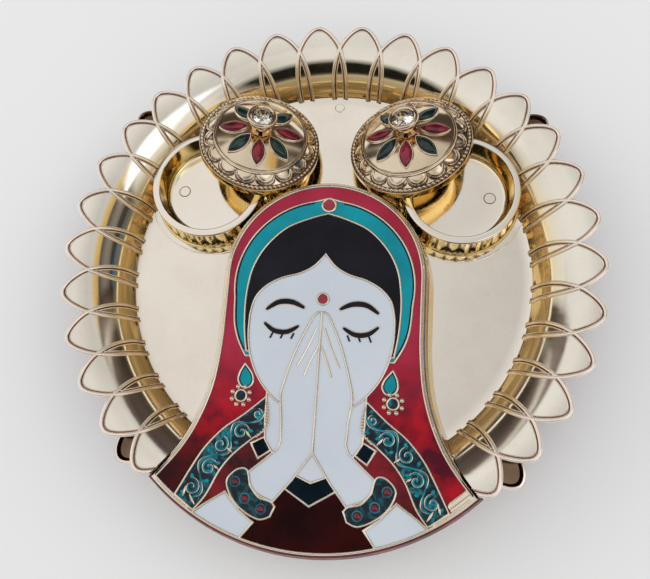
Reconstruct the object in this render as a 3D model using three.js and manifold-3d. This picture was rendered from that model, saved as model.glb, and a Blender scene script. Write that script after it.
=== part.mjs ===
// A kumkum holder: a round tray with a rim of petals and two fluted cups, two jewelled lids that
// lean on the cups, and a raised figure panel whose enamel lies in pockets between thin gold lines.
// Units are millimetres. +Z is up, +Y points to the back, the table is at z = 0.
import * as THREE from "three";
import { mergeVertices } from "three/addons/utils/BufferGeometryUtils.js";
import Module from "manifold-3d";

const wasm = await Module();
wasm.setup();

// Driving dimensions of the tray
const petalCount = 34;
const tipRadius = 100;
const valleyRadius = 92.3;
const petalPower = 1.5;
const floorRadius = 78.3;
const rimRise = 17.7;
const trayWall = 1.8;
const rimEdgeDepth = 3.2;
const floorLift = 8;

// Driving dimensions of the feet
const footAngles = [52.94, 137.65];
const footOverhang = 4;
const footWidth = 13;
const footDrop = 7;
const footToeInset = 4.5;
const footDepth = 14.5;
const footWaist = 1.6;

// Driving dimensions of the cups
const cupSpacing = 99.6;
const cupBack = 31.4;
const cupRimRadius = 22.6;
const cupRimWidth = 2.7;
const cupHeight = 11;
const cupFloorRadius = 18.9;
const cupFloorRise = 2;
const cupLipHeight = 1.2;
const cupFootRadius = 23.9;
const cupFootHeight = 0.9;
const cupFluteInset = 0.5;
const fluteCount = 32;

// Driving dimensions of the lids
const lidRadius = 24;
const lidSkirt = 3;
const lidPlugDepth = 2.2;
const lidPlugWall = 1.4;
const lidClearance = 0.5;
const lidRingRadius = 18.4;
const lidRingWidth = 1;
const lidRingHeight = 6.4;
const lidRingRise = 0.5;
const lidDomeHeight = 10.4;
const lidShell = 1.5;
const lidOffset = 25.7;
const lidLeanAngle = 41;
const lidLeanTilt = 17;
const lidFacets = 32;

// Driving dimensions of the lid's stones
const stoneCount = 8;
const stoneLength = 10.6;
const stoneWidth = 4.6;
const stoneHeight = 1.7;
const stoneDepth = 0.6;
const stoneMiddle = 10.6;
const bezelWall = 0.6;
const bezelRise = 0.6;

// Driving dimensions of the lid's knob and its crystal
const knobStudRadius = 1.5;
const knobBaseRadius = 4.2;
const knobStemRadius = 2.7;
const knobCupRadius = 5.8;
const knobCupHeight = 3.6;
const knobStemHeight = 4.2;
const crystalRadius = 3.9;
const crystalTable = 2.2;
const crystalCrown = 1.2;
const crystalDepth = 2.4;

// Driving dimensions of the figure panel
const panelDrop = 2;
const panelPlate = 2.2;
const panelWall = 1.6;
const panelSkirt = 4.4;
const panelShoulder = 0.8;
const panelShoulderOut = 0.9;
const panelSkirtOut = 2.1;
const panelFootOut = 4.6;
const headCentreY = -7;
const headRadius = 36.3;
const hemCentreY = -20;
const hemRadius = 82;
const hemHalfAngle = 41.6;
const bandCentreY = -10.5;
const bandRadius = 33;
const figureUnit = 1;
const goldLine = 0.9;
const borderLine = 1.1;
const hemLine = 1;
const enamelThickness = 0.8;

// Clearances
const seatGap = 0.25;
const sideGap = 0.15;
const cutGap = 0.3;

// Places worked out from the driving dimensions
const floorTop = floorLift + trayWall;
const rimTop = floorTop + rimRise;
const coveWidth = tipRadius - floorRadius;
const footReach = tipRadius + footOverhang;
const footToeRadius = footReach - footToeInset;
const footHeelRadius = footToeRadius - footDepth;
const panelTop = rimTop - panelDrop;
const panelBase = floorTop + seatGap;
const panelSkirtBase = panelTop - panelSkirt;
const cupRimTop = floorTop + cupHeight;
const cupMouth = cupRimRadius - cupRimWidth;
const lidPlugRadius = cupMouth - lidClearance;
const degree = Math.PI / 180;

// Colours and finishes
const finishes = {
  gold: { color: 0xd9c08a, metalness: 1, roughness: 0.18 },
  crimson: { color: 0xa82338, metalness: 0.1, roughness: 0.25 },
  teal: { color: 0x0096a5, metalness: 0, roughness: 0.3 },
  darkTeal: { color: 0x063c4b, metalness: 0.1, roughness: 0.25 },
  maroon: { color: 0x3c0808, metalness: 0.1, roughness: 0.25 },
  black: { color: 0x23252f, metalness: 0, roughness: 0.3 },
  white: { color: 0xcdd7e2, metalness: 0, roughness: 0.3 },
  red: { color: 0xa01530, metalness: 0, roughness: 0.1 },
  green: { color: 0x0b4a38, metalness: 0, roughness: 0.1 },
  crystal: { color: 0xe8e2d6, metalness: 0, roughness: 0.05 },
};

const holder = new THREE.Group();

function addPiece(group, name, geometry, finish) {
  const mesh = new THREE.Mesh(geometry, new THREE.MeshStandardMaterial(finishes[finish]));
  mesh.name = name;
  group.add(mesh);
  return mesh;
}

// Solids and geometry

function toSolid(geometry) {
  const bare = new THREE.BufferGeometry();
  bare.setAttribute("position", geometry.getAttribute("position"));
  bare.setIndex(geometry.index);
  const merged = mergeVertices(bare, 1e-4);
  const mesh = new wasm.Mesh({
    numProp: 3,
    vertProperties: merged.getAttribute("position").array,
    triVerts: new Uint32Array(merged.index.array),
  });
  return new wasm.Manifold(mesh);
}

function toGeometry(solid) {
  const mesh = solid.getMesh();
  const geometry = new THREE.BufferGeometry();
  geometry.setAttribute("position", new THREE.BufferAttribute(mesh.vertProperties, 3));
  geometry.setIndex(new THREE.BufferAttribute(mesh.triVerts, 1));
  geometry.computeVertexNormals();
  return geometry;
}

function lathe(profile, segments) {
  const points = profile.map(([radius, height]) => new THREE.Vector2(radius, height));
  return new THREE.LatheGeometry(points, segments).rotateX(Math.PI / 2);
}

function prism(outline, bottom, top) {
  const settings = { depth: top - bottom, bevelEnabled: false };
  return new THREE.ExtrudeGeometry(new THREE.Shape(outline), settings).translate(0, 0, bottom);
}

// A flat plate over an outline, which may also cross itself.
function plate(outline, bottom, top) {
  const section = new wasm.CrossSection([outline.map((p) => [p.x, p.y])], "NonZero");
  return section.extrude(top - bottom).translate([0, 0, bottom]);
}

// A closed skin over rings of points that all have as many points, from the lowest ring to the highest.
function loft(rings) {
  const count = rings[0].length;
  const positions = rings.flat().flatMap((p) => [p.x, p.y, p.z]);
  const faces = [];
  for (let level = 0; level + 1 < rings.length; level++) {
    for (let i = 0; i < count; i++) {
      const next = (i + 1) % count;
      const low = level * count;
      const high = low + count;
      faces.push(low + i, low + next, high + next);
      faces.push(low + i, high + next, high + i);
    }
  }
  const cap = (ring, start, up) => {
    const flat = ring.map((p) => new THREE.Vector2(p.x, p.y));
    for (const [a, b, c] of THREE.ShapeUtils.triangulateShape(flat, [])) {
      faces.push(...(up ? [start + a, start + b, start + c] : [start + c, start + b, start + a]));
    }
  };
  cap(rings[0], 0, false);
  cap(rings[rings.length - 1], (rings.length - 1) * count, true);
  const geometry = new THREE.BufferGeometry();
  geometry.setAttribute("position", new THREE.Float32BufferAttribute(positions, 3));
  geometry.setIndex(faces);
  return geometry;
}

// Flat outlines

const at = (x, y) => new THREE.Vector2(x, y);
const toPoints = (pairs) => pairs.map(([x, y]) => at(x, y));
const mirrored = (points) => points.map((p) => at(-p.x, p.y)).reverse();
const raised = (points, z) => points.map((p) => new THREE.Vector3(p.x, p.y, z));

// A smooth line through points, with so many steps between each two of them.
function smooth(pairs, steps) {
  const curve = new THREE.SplineCurve(toPoints(pairs));
  return curve.getPoints((pairs.length - 1) * steps);
}

function arc(centreX, centreY, radius, from, to, steps) {
  const points = [];
  for (let i = 0; i <= steps; i++) {
    const angle = (from + ((to - from) * i) / steps) * degree;
    points.push(at(centreX + radius * Math.cos(angle), centreY + radius * Math.sin(angle)));
  }
  return points;
}

// The outline with each point that repeats the one before it left out, counter-clockwise.
function tidied(outline) {
  const kept = outline.filter((p, i) => p.distanceTo(outline.at(i - 1)) > 0.05);
  return THREE.ShapeUtils.isClockWise(kept) ? kept.reverse() : kept;
}

// The outline moved outwards by a distance, or inwards when it is negative.
function grown(outline, distance) {
  return outline.map((p, i) => {
    const before = p.clone().sub(outline.at(i - 1)).normalize();
    const after = outline[(i + 1) % outline.length].clone().sub(p).normalize();
    const outward = at(before.y + after.y, -before.x - after.x).normalize();
    const spread = Math.max(0.5, outward.dot(at(before.y, -before.x)));
    return p.clone().addScaledVector(outward, distance / spread);
  });
}

// Tray

function coveHeight(radius) {
  const along = Math.min(1, Math.max(0, (radius - floorRadius) / coveWidth));
  return floorTop + rimRise * Math.sqrt(1 - (1 - along) ** 2);
}

// A point of the cove, which rises from the floor as a quarter of an ellipse, so far below its skin.
function covePoint(angle, depth) {
  const across = rimRise * Math.cos(angle * degree);
  const down = coveWidth * Math.sin(angle * degree);
  const radius = floorRadius + coveWidth * (1 - Math.cos(angle * degree));
  const height = floorTop + rimRise * Math.sin(angle * degree);
  const share = depth / Math.hypot(across, down);
  return [radius + across * share, height - down * share];
}

// The angle at which the cove reaches the valleys of the rim, and the rings of points below it.
const valleyAngle = Math.acos(1 - (valleyRadius - floorRadius) / coveWidth) / degree;
const coveAngles = [0, 0.25, 0.52, 0.79].map((share) => share * valleyAngle);

// The space above the tray's skin, with the skin moved down and out by a depth.
function bowlSpace(depth) {
  const profile = [[0, floorTop - depth], [floorRadius + depth, floorTop - depth]];
  for (const angle of [...coveAngles, valleyAngle, 90]) {
    profile.push(covePoint(angle, depth));
  }
  const far = tipRadius + rimRise;
  profile.push([far, rimTop - depth], [far, rimTop * 2], [0, rimTop * 2]);
  return toSolid(lathe(profile, petalCount * 2));
}

function rimRadius(step, stepsPerPetal) {
  const half = stepsPerPetal / 2;
  const side = Math.abs(((step + half) % stepsPerPetal) - half) / half;
  return valleyRadius + (tipRadius - valleyRadius) * (1 - side ** petalPower);
}

// Each ring is a function that gives the radius and height at one step round the tray.
function trayRings(stepsPerPetal) {
  const upper = coveAngles.map((angle) => () => covePoint(angle, 0));
  const lower = coveAngles.toReversed().map((angle) => () => covePoint(angle, trayWall));
  const edge = (step) => rimRadius(step, stepsPerPetal);
  return [
    ...upper,
    (step) => [edge(step), coveHeight(edge(step))],
    (step) => [edge(step), coveHeight(edge(step)) - rimEdgeDepth],
    (step) => [edge(step) - trayWall, coveHeight(edge(step)) - rimEdgeDepth],
    ...lower,
    () => [floorRadius + trayWall / 2, floorLift],
  ];
}

function trayBody() {
  const stepsPerPetal = 6;
  const steps = petalCount * stepsPerPetal;
  const rings = trayRings(stepsPerPetal);
  const positions = [0, 0, floorTop];
  for (const ring of rings) {
    for (let step = 0; step < steps; step++) {
      const angle = (step / steps) * 2 * Math.PI;
      const [radius, height] = ring(step);
      positions.push(radius * Math.cos(angle), radius * Math.sin(angle), height);
    }
  }
  positions.push(0, 0, floorLift);
  const last = 1 + rings.length * steps;
  const faces = [];
  for (let step = 0; step < steps; step++) {
    const next = (step + 1) % steps;
    faces.push(0, 1 + step, 1 + next);
    for (let row = 0; row + 1 < rings.length; row++) {
      const inner = 1 + row * steps;
      const outer = inner + steps;
      faces.push(inner + step, outer + step, outer + next);
      faces.push(inner + step, outer + next, inner + next);
    }
    faces.push(last, last - steps + next, last - steps + step);
  }
  const geometry = new THREE.BufferGeometry();
  geometry.setAttribute("position", new THREE.Float32BufferAttribute(positions, 3));
  geometry.setIndex(faces);
  return toSolid(geometry);
}

// The outside of a cup, drawn round the Z axis with the tray's floor at its own height.
function cupOutside() {
  const sunk = floorTop - trayWall / 2;
  const lipBase = cupRimTop - cupLipHeight;
  const neck = cupRimRadius - cupFluteInset;
  const foot = cupFootRadius - 0.6;
  const body = lathe(
    [[0, sunk], [foot, sunk], [foot, floorTop], [neck, lipBase + 0.4], [0, lipBase + 0.4]],
    fluteCount,
  );
  const flangeTop = floorTop + cupFootHeight;
  const flange = lathe(
    [[0, sunk], [cupFootRadius, sunk], [cupFootRadius, flangeTop], [0, flangeTop]],
    fluteCount,
  );
  const lip = lathe(
    [[0, lipBase], [cupRimRadius, lipBase], [cupRimRadius, cupRimTop], [0, cupRimTop]],
    fluteCount * 1.5,
  );
  return toSolid(body).add(toSolid(flange)).add(toSolid(lip));
}

function cupBore() {
  const bottom = floorTop + cupFloorRise;
  return toSolid(lathe(
    [[0, bottom], [cupFloorRadius - 0.8, bottom], [cupFloorRadius, bottom + 0.8], [cupMouth, cupRimTop],
      [cupMouth, rimTop * 2], [0, rimTop * 2]],
    fluteCount * 1.5,
  ));
}

const cupPlaces = [-1, 1].map((side) => [(side * cupSpacing) / 2, cupBack, 0]);

// The rim is open in front of the panel's hem, also where the petals would reach past it.
function hemRoom(bottom, top) {
  const hem = arc(0, hemCentreY, hemRadius, hemHalfAngle - 90, -90 - hemHalfAngle, 18);
  const reach = Math.max(tipRadius, hemRadius - hemCentreY) + cutGap;
  const inner = hem.map((p) => p.clone().multiplyScalar(0.95)).reverse();
  const outer = hem.map((p) => p.clone().setLength(reach));
  return toSolid(prism(tidied([...outer, ...inner]), bottom, top));
}

// The room that the figure panel takes out of the rim.
function panelRoom() {
  const low = grown(panelOutline(), panelSkirtOut + cutGap);
  const high = grown(panelOutline(), cutGap);
  const top = rimTop + rimEdgeDepth;
  const bottom = panelSkirtBase - cutGap;
  const room = loft([raised(low, bottom), raised(low, panelTop - panelShoulder), raised(high, top)]);
  return toSolid(room).add(hemRoom(bottom, top));
}

function addTray() {
  const withinTray = bowlSpace(trayWall / 2);
  let tray = trayBody();
  for (const place of cupPlaces) {
    tray = tray.add(cupOutside().translate(place).intersect(withinTray)).subtract(cupBore().translate(place));
  }
  addPiece(holder, "tray", toGeometry(tray.subtract(panelRoom())), "gold");
}

// Feet

// A foot is drawn as if it stood on the +X side. It runs up to the outside of the tray's wall.
function footSolid() {
  const kneeTop = rimTop - footDrop;
  const neckRadius = valleyRadius - 2 * trayWall;
  const side = toPoints([
    [footHeelRadius, 0],
    [footToeRadius, 0],
    [footToeRadius - footWaist, kneeTop * 0.3],
    [footToeRadius, kneeTop * 0.6],
    [footReach, kneeTop - 2.5],
    [footReach - 0.8, kneeTop - 0.6],
    [footReach - 3, kneeTop],
    [neckRadius, kneeTop - 0.6],
    [neckRadius, rimTop],
    [floorRadius, rimTop],
    [floorRadius, floorTop],
    [footHeelRadius, floorLift / 2],
  ]);
  const profile = prism(side, -footWidth, footWidth).rotateX(Math.PI / 2);
  const half = footWidth / 2;
  const shoulder = footReach - footWidth * 0.75;
  const tip = footReach - footWidth * 0.25;
  const plan = [
    at(floorRadius - 1, -half * 0.7),
    ...smooth([[shoulder, -half], [tip, -half * 0.62], [footReach, 0]], 4),
    ...smooth([[footReach, 0], [tip, half * 0.62], [shoulder, half]], 4),
    at(floorRadius - 1, half * 0.7),
  ];
  return toSolid(profile).intersect(toSolid(prism(tidied(plan), -1, rimTop + 1)));
}

function addFeet() {
  const room = bowlSpace(trayWall + cutGap);
  const names = ["back", "front"];
  footAngles.forEach((angle, i) => {
    for (const [sideName, side] of [["left", -1], ["right", 1]]) {
      const turn = Math.PI / 2 - side * angle * degree;
      const turned = toGeometry(footSolid()).rotateZ(turn);
      const foot = toSolid(turned).subtract(room);
      addPiece(holder, `foot_${names[i]}_${sideName}`, toGeometry(foot), "gold");
    }
  });
}

// Lids

// A marquise outline: two arcs that meet in points, long along Y.
function marquise(length, width, steps) {
  const half = length / 2;
  const bulge = width / 2;
  const radius = (half * half + bulge * bulge) / (2 * bulge);
  const swing = Math.asin(half / radius) / degree;
  const right = arc(bulge - radius, 0, radius, -swing, swing, steps);
  const left = arc(radius - bulge, 0, radius, 180 - swing, 180 + swing, steps);
  return tidied([...right, ...left]);
}

const domeRise = lidDomeHeight - lidRingHeight;
const domeRadius = (lidRingRadius ** 2 + domeRise ** 2) / (2 * domeRise);
const domeCentre = lidDomeHeight - domeRadius;
const domeHeight = (radius) => domeCentre + Math.sqrt(domeRadius ** 2 - radius ** 2);

// Moves a geometry drawn round the Z axis to its stone's place on the dome.
function onDome(geometry, index) {
  const slope = Math.asin(stoneMiddle / domeRadius);
  return geometry
    .rotateX(-slope)
    .translate(0, stoneMiddle, domeHeight(stoneMiddle))
    .rotateZ((index / stoneCount) * 2 * Math.PI);
}

function stoneSolid() {
  const middle = raised(marquise(stoneLength, stoneWidth, 4), stoneHeight * 0.35);
  const shrink = (share, z) => middle.map((p) => new THREE.Vector3(p.x * share, p.y * share, z));
  return loft([shrink(1, -stoneDepth), middle, shrink(0.72, stoneHeight * 0.8), shrink(0.3, stoneHeight)]);
}

function lidSolid() {
  const ringInner = lidRingRadius - lidRingWidth;
  const outside = lathe(
    [[0, -lidPlugDepth], [lidPlugRadius - 0.2, -lidPlugDepth], [lidPlugRadius, 0], [lidRadius, 0],
      [lidRadius, lidSkirt], [lidRadius - 1.6, lidSkirt + 0.9],
      [lidRingRadius + 0.4, lidRingHeight - 0.4], [lidRingRadius, lidRingHeight + lidRingRise],
      [ringInner, lidRingHeight + lidRingRise], [ringInner - 0.2, domeHeight(ringInner)],
      [ringInner * 0.75, domeHeight(ringInner * 0.75)], [ringInner * 0.5, domeHeight(ringInner * 0.5)],
      [knobBaseRadius + 0.4, domeHeight(knobBaseRadius)], [0, domeHeight(knobBaseRadius)]],
    lidFacets,
  );
  const hollow = lidPlugRadius - lidPlugWall;
  const inside = lathe(
    [[0, -lidPlugDepth - 1], [hollow, -lidPlugDepth - 1], [hollow, domeHeight(hollow) - lidShell - 0.8],
      [hollow * 0.8, domeHeight(hollow * 0.8) - lidShell], [hollow * 0.5, domeHeight(hollow * 0.5) - lidShell],
      [0, domeHeight(knobBaseRadius) - lidShell]],
    lidFacets,
  );
  let lid = toSolid(outside);
  const bezel = marquise(stoneLength + 2 * bezelWall, stoneWidth + 2 * bezelWall, 4);
  const seat = marquise(stoneLength + 2 * sideGap, stoneWidth + 2 * sideGap, 4);
  for (let i = 0; i < stoneCount; i++) {
    lid = lid.add(toSolid(onDome(prism(bezel, -stoneDepth, bezelRise), i)));
    lid = lid.subtract(toSolid(onDome(prism(seat, -stoneDepth - sideGap, stoneHeight), i)));
  }
  const hole = prism(tidied(arc(0, 0, knobStudRadius + sideGap, 0, 360, 12)), 0, lidDomeHeight + 1);
  return lid.subtract(toSolid(inside)).subtract(toSolid(hole));
}

function knobSolid() {
  const seat = domeHeight(knobBaseRadius) + sideGap;
  const stemTop = seat + knobStemHeight;
  const top = stemTop + knobCupHeight;
  const girdle = top - 0.5;
  const body = lathe(
    [[0, seat - lidShell], [knobStudRadius, seat - lidShell], [knobStudRadius, seat], [knobBaseRadius, seat],
      [knobBaseRadius - 0.6, seat + 0.9], [knobStemRadius, seat + 1.8], [knobStemRadius, stemTop - 0.8],
      [knobCupRadius - 0.9, stemTop + 0.9], [knobCupRadius, top - 1], [knobCupRadius - 0.5, top],
      [crystalRadius + sideGap, top - 0.3], [crystalRadius + sideGap, girdle - 0.3],
      [0.6, girdle - crystalDepth - sideGap], [0, girdle - crystalDepth - sideGap]],
    18,
  );
  return { body, girdle };
}

function crystalGeometry(girdle) {
  return lathe([[0, girdle - crystalDepth], [crystalRadius, girdle], [crystalRadius, girdle + 0.2],
    [crystalTable, girdle + crystalCrown], [0, girdle + crystalCrown]], 12);
}

// The height of a leaning lid's middle: the lowest at which its edge clears the cove of the tray
// and its plug clears the rim of the cup. A lid lies against both.
function leaningHeight(middle, lean, tilt) {
  const cupMiddle = at(...cupPlaces[1]);
  const steps = 120;
  const heights = [];
  for (let step = 0; step < steps; step++) {
    const turn = (step / steps) * 2 * Math.PI;
    const along = Math.cos(turn);
    const across = Math.sin(turn);
    const spot = (radius, drop) => {
      const reach = radius * along * Math.cos(tilt) - drop * Math.sin(tilt);
      const side = radius * across;
      return at(middle.x + lean.x * reach - lean.y * side, middle.y + lean.y * reach + lean.x * side);
    };
    const edge = spot(lidRadius, 0);
    heights.push(coveHeight(edge.length()) + lidRadius * along * Math.sin(tilt));
    for (const radius of [lidPlugRadius, lidPlugRadius - lidPlugWall]) {
      const fromCup = spot(radius, lidPlugDepth).distanceTo(cupMiddle);
      if (fromCup < cupRimRadius && fromCup > cupMouth) {
        heights.push(cupRimTop + radius * along * Math.sin(tilt) + lidPlugDepth * Math.cos(tilt));
      }
    }
  }
  return Math.max(...heights) + seatGap;
}

function addLids() {
  const tilt = lidLeanTilt * degree;
  for (const [sideName, side] of [["left", -1], ["right", 1]]) {
    const lean = at(-Math.cos(lidLeanAngle * degree), Math.sin(lidLeanAngle * degree));
    const middle = at(...cupPlaces[1]).addScaledVector(lean, lidOffset);
    const group = new THREE.Group();
    group.position.set(side * middle.x, middle.y, leaningHeight(middle, lean, tilt));
    group.quaternion.setFromAxisAngle(new THREE.Vector3(-lean.y, side * lean.x, 0), tilt);
    holder.add(group);
    const knob = knobSolid();
    addPiece(group, `lid_${sideName}`, toGeometry(lidSolid()), "gold");
    addPiece(group, `knob_${sideName}`, knob.body, "gold");
    addPiece(group, `crystal_${sideName}`, crystalGeometry(knob.girdle), "crystal");
    for (let i = 0; i < stoneCount; i++) {
      const stone = onDome(stoneSolid(), i);
      addPiece(group, `stone_${sideName}_${i + 1}`, stone, i % 2 ? "green" : "red");
    }
  }
}

// Figure panel

// Half outlines run down the +X side, from the top to the hem, and are drawn in figure units.
const sidePairs = [[36.1, -22], [36.2, -35], [37.7, -49], [41.4, -61.3], [46.6, -71.3]];
const inUnits = (pairs) => pairs.map(([x, y]) => [x * figureUnit, y * figureUnit]);
const drawnLine = (pairs) => toPoints(inUnits(pairs));
const drawnCurve = (pairs) => smooth(inUnits(pairs), 2);

function hemPoint(radius, angle) {
  return [radius * Math.sin(angle * degree), hemCentreY - radius * Math.cos(angle * degree)];
}

function panelOutline() {
  const head = arc(0, headCentreY, headRadius, 90, 0, 12);
  const corner = hemPoint(hemRadius, hemHalfAngle);
  const side = smooth([[headRadius, headCentreY], ...inUnits(sidePairs), corner], 2);
  const hem = arc(0, hemCentreY, hemRadius, hemHalfAngle - 90, -90, 9);
  const half = [...head, ...side, ...hem];
  return tidied([...half, ...mirrored(half)]);
}

// The outline of the panel, with its sides drawn in by one width and its hem by another.
function insetPanel(sideInset, hemInset) {
  const lowest = hemRadius - hemInset;
  return grown(panelOutline(), -sideInset).map((p) => {
    const fromHem = at(p.x, p.y - hemCentreY);
    return p.y < hemCentreY && fromHem.length() > lowest ? fromHem.setLength(lowest).add(at(0, hemCentreY)) : p;
  });
}

function bothSides(half) {
  return tidied([...half, ...mirrored(half)]);
}

// The motifs from the back to the front: each hides what lies behind it.
function figureMotifs() {
  const hemEdge = hemRadius - hemLine + goldLine / 2;
  const bandOuter = [
    ...drawnLine([[0, 23.6]]),
    ...arc(0, bandCentreY, bandRadius, 80, -10, 9),
    ...drawnCurve([[32.4, -17], [31.6, -26], [29.6, -32.5], [26.4, -38.2]]),
  ];
  const hairOuter = drawnCurve([
    [0, 17.3], [7, 15.1], [15.6, 11], [22.5, 3.8], [26.5, -4], [28, -12], [28.3, -20], [27.6, -29],
    [26.2, -36.5],
  ]);
  const hairLine = drawnCurve([
    [0, 1.1], [4, -3.6], [9, -6.6], [15.5, -8.6], [21, -11.8], [24.8, -16.5], [26.2, -23],
  ]);
  const jaw = drawnCurve([
    [26.2, -23], [26, -31], [24.3, -39], [20.6, -46.5], [15, -52.6], [8, -56.6], [0, -58],
  ]);
  const hand = [
    ...drawnCurve([
      [0.01, -21.1], [2.2, -21.9], [5.2, -27.5], [8.6, -36], [11.3, -45.2], [12.5, -51.5], [11.6, -59],
    ]),
    ...drawnLine([[11.2, -67], [12.2, -69.8], [21.6, -78]]),
    ...drawnCurve([[21.6, -78], [18.9, -83.7], [12.3, -86.8]]),
    ...drawnLine([[6.4, -79.6], [0.01, -70.3]]),
  ];
  const bangle = [
    ...drawnCurve([
      [20.4, -82], [21.7, -77.2], [24.9, -77], [28, -79.9], [28.1, -82.6], [25.9, -86.7], [21.4, -90.5],
      [16.3, -92.5], [12.7, -91.4],
    ]),
    ...drawnCurve([[11.4, -88.2], [13, -86.7], [17.1, -85.6], [20.4, -82]]),
  ];
  const border = [
    ...drawnCurve([[17.6, -52.4], [24.8, -58.8], [31.5, -64], [37.2, -70.6], [41.2, -77.6], [45, -85.4]]),
    ...drawnCurve([
      [38.4, -90], [35.1, -86], [31.3, -77.9], [27, -72.1], [21.1, -66.8], [16.8, -63.2], [16.1, -55.6],
    ]),
  ];
  const blouse = [
    ...drawnLine([[0, -62], [16, -60], [21, -61.5], [26.5, -66], [32, -71.5], [36.2, -78], [41, -88]]),
    ...arc(0, hemCentreY, hemEdge, -60, -90, 6),
  ];
  const arm = [
    ...drawnLine([[18.3, -93.6], [23.3, -90.1], [28.7, -84.6], [35.6, -89.1]]),
    ...arc(0, hemCentreY, hemEdge, -61.5, -74.2, 3),
  ];
  const neck = drawnLine([
    [0, -45], [17.4, -49], [17.2, -60], [16.6, -66.8], [13.6, -71], [6, -77.5], [0, -80.4],
  ]);
  const neckline = drawnLine([[0, -80], [7, -77.2], [9.6, -81.6], [0, -87.4]]);
  const square = drawnLine([[21.3, -68.3], [17, -66], [14.3, -70.3], [18.5, -73.1]]);
  const drop = drawnCurve([
    [26.1, -41.1], [23.4, -44.3], [22.6, -47], [23.6, -49], [25.2, -49.6], [27, -48.8], [28, -46.8],
    [27.6, -44], [26.1, -41.1],
  ]);
  const disc = (...values) => {
    const [x, y, radius] = values.map((value) => value * figureUnit);
    return arc(x, y, radius, 0, 360, 12);
  };
  const pair = (name, half, finish) => [
    { name: `${name}_left`, outline: tidied(mirrored(half)), finish },
    { name: `${name}_right`, outline: tidied(half), finish },
  ];
  return [
    {
      name: "enamel_veil",
      outline: tidied(insetPanel(borderLine - goldLine / 2, hemLine)),
      finish: "crimson",
    },
    {
      names: ["enamel_sleeve_left", "enamel_blouse", "enamel_sleeve_right"],
      outline: bothSides(blouse),
      finish: "maroon",
    },
    ...pair("enamel_border", border, "darkTeal"),
    ...pair("enamel_arm", arm, "white"),
    ...pair("enamel_square", square, "darkTeal"),
    {
      names: ["enamel_neck_left", "enamel_chest", "enamel_neck_right"],
      outline: bothSides(neck),
      finish: "white",
    },
    { name: "enamel_neckline", outline: bothSides(neckline), finish: "darkTeal" },
    { name: "enamel_headband", outline: bothSides(bandOuter), finish: "teal" },
    { name: "enamel_hair", outline: bothSides(hairOuter), finish: "black" },
    { name: "enamel_face", outline: bothSides([...hairLine, ...jaw]), finish: "white" },
    ...pair("enamel_hand", hand, "white"),
    ...pair("enamel_bangle", bangle, "darkTeal"),
    ...pair("earring_drop", drop, "teal"),
    ...pair("earring_centre", disc(26.5, -52.4, 2), "darkTeal"),
    { name: "headband_ruby", outline: tidied(disc(0, 20.8, 2.5)), finish: "red" },
    { name: "forehead_ruby", outline: tidied(disc(0, -16.2, 2.1)), finish: "red" },
  ];
}

// The pool of one motif: its outline drawn in by half a gold line, less every motif in front of
// it grown by half a gold line. A margin widens the pool into the pocket that holds it.
function poolSolids(motifs, index, margin, bottom, top) {
  const inset = goldLine / 2 - margin;
  let pool = plate(grown(motifs[index].outline, -inset), bottom, top);
  for (const front of motifs.slice(index + 1)) {
    pool = pool.subtract(plate(grown(front.outline, inset), bottom - 1, top + 1));
  }
  const middleOf = (body) => {
    const box = body.boundingBox();
    return box.min[0] + box.max[0];
  };
  const wanted = motifs[index].names ? motifs[index].names.length : 1;
  const bodies = pool.decompose().sort((a, b) => b.volume() - a.volume());
  return bodies.slice(0, wanted).sort((a, b) => middleOf(a) - middleOf(b));
}

function panelBody() {
  const outline = panelOutline();
  const outside = loft([
    raised(grown(outline, panelFootOut), panelBase),
    raised(grown(outline, panelSkirtOut), panelSkirtBase),
    raised(grown(outline, panelShoulderOut), panelTop - panelShoulder),
    raised(outline, panelTop),
  ]);
  const inside = loft([
    raised(grown(outline, panelFootOut - panelWall), panelBase - 1),
    raised(grown(outline, panelSkirtOut - panelWall), panelSkirtBase),
    raised(grown(outline, -panelWall), panelTop - panelPlate),
  ]);
  const shell = toSolid(outside).subtract(toSolid(inside));
  const skirt = shell.trimByPlane([0, 0, 1], panelSkirtBase);
  let walls = shell.intersect(bowlSpace(-cutGap));
  for (const place of cupPlaces) {
    walls = walls.subtract(cupRoom().translate(place));
  }
  return skirt.add(walls);
}

// The room that a cup takes out of the panel's wall.
function cupRoom() {
  const foot = cupFootRadius + cutGap;
  const neck = cupRimRadius + cutGap;
  const flangeTop = floorTop + cupFootHeight + cutGap;
  return toSolid(lathe(
    [[0, floorLift], [foot, floorLift], [foot, flangeTop], [neck, cupRimTop], [0, cupRimTop]],
    fluteCount,
  ));
}

function addFigurePanel() {
  const motifs = figureMotifs();
  let panel = panelBody();
  const pocketFloor = panelTop - enamelThickness - sideGap;
  motifs.forEach((motif, index) => {
    for (const pocket of poolSolids(motifs, index, sideGap, pocketFloor, panelTop + 1)) {
      panel = panel.subtract(pocket);
    }
  });
  addPiece(holder, "figure_panel", toGeometry(panel), "gold");
  motifs.forEach((motif, index) => {
    const pools = poolSolids(motifs, index, 0, panelTop - enamelThickness, panelTop);
    const names = motif.names ?? [motif.name];
    names.forEach((name, i) => addPiece(holder, name, toGeometry(pools[i]), motif.finish));
  });
}

addTray();
addFeet();
addLids();
addFigurePanel();

// The origin lies under the middle of the whole holder, which reaches further to the front.
const reach = new THREE.Box3().setFromObject(holder);
holder.position.y = -(reach.min.y + reach.max.y) / 2;

export default holder;
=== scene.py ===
import math

import bpy
import numpy as np
from mathutils import Matrix, Vector
from mathutils.geometry import delaunay_2d_cdt


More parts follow.
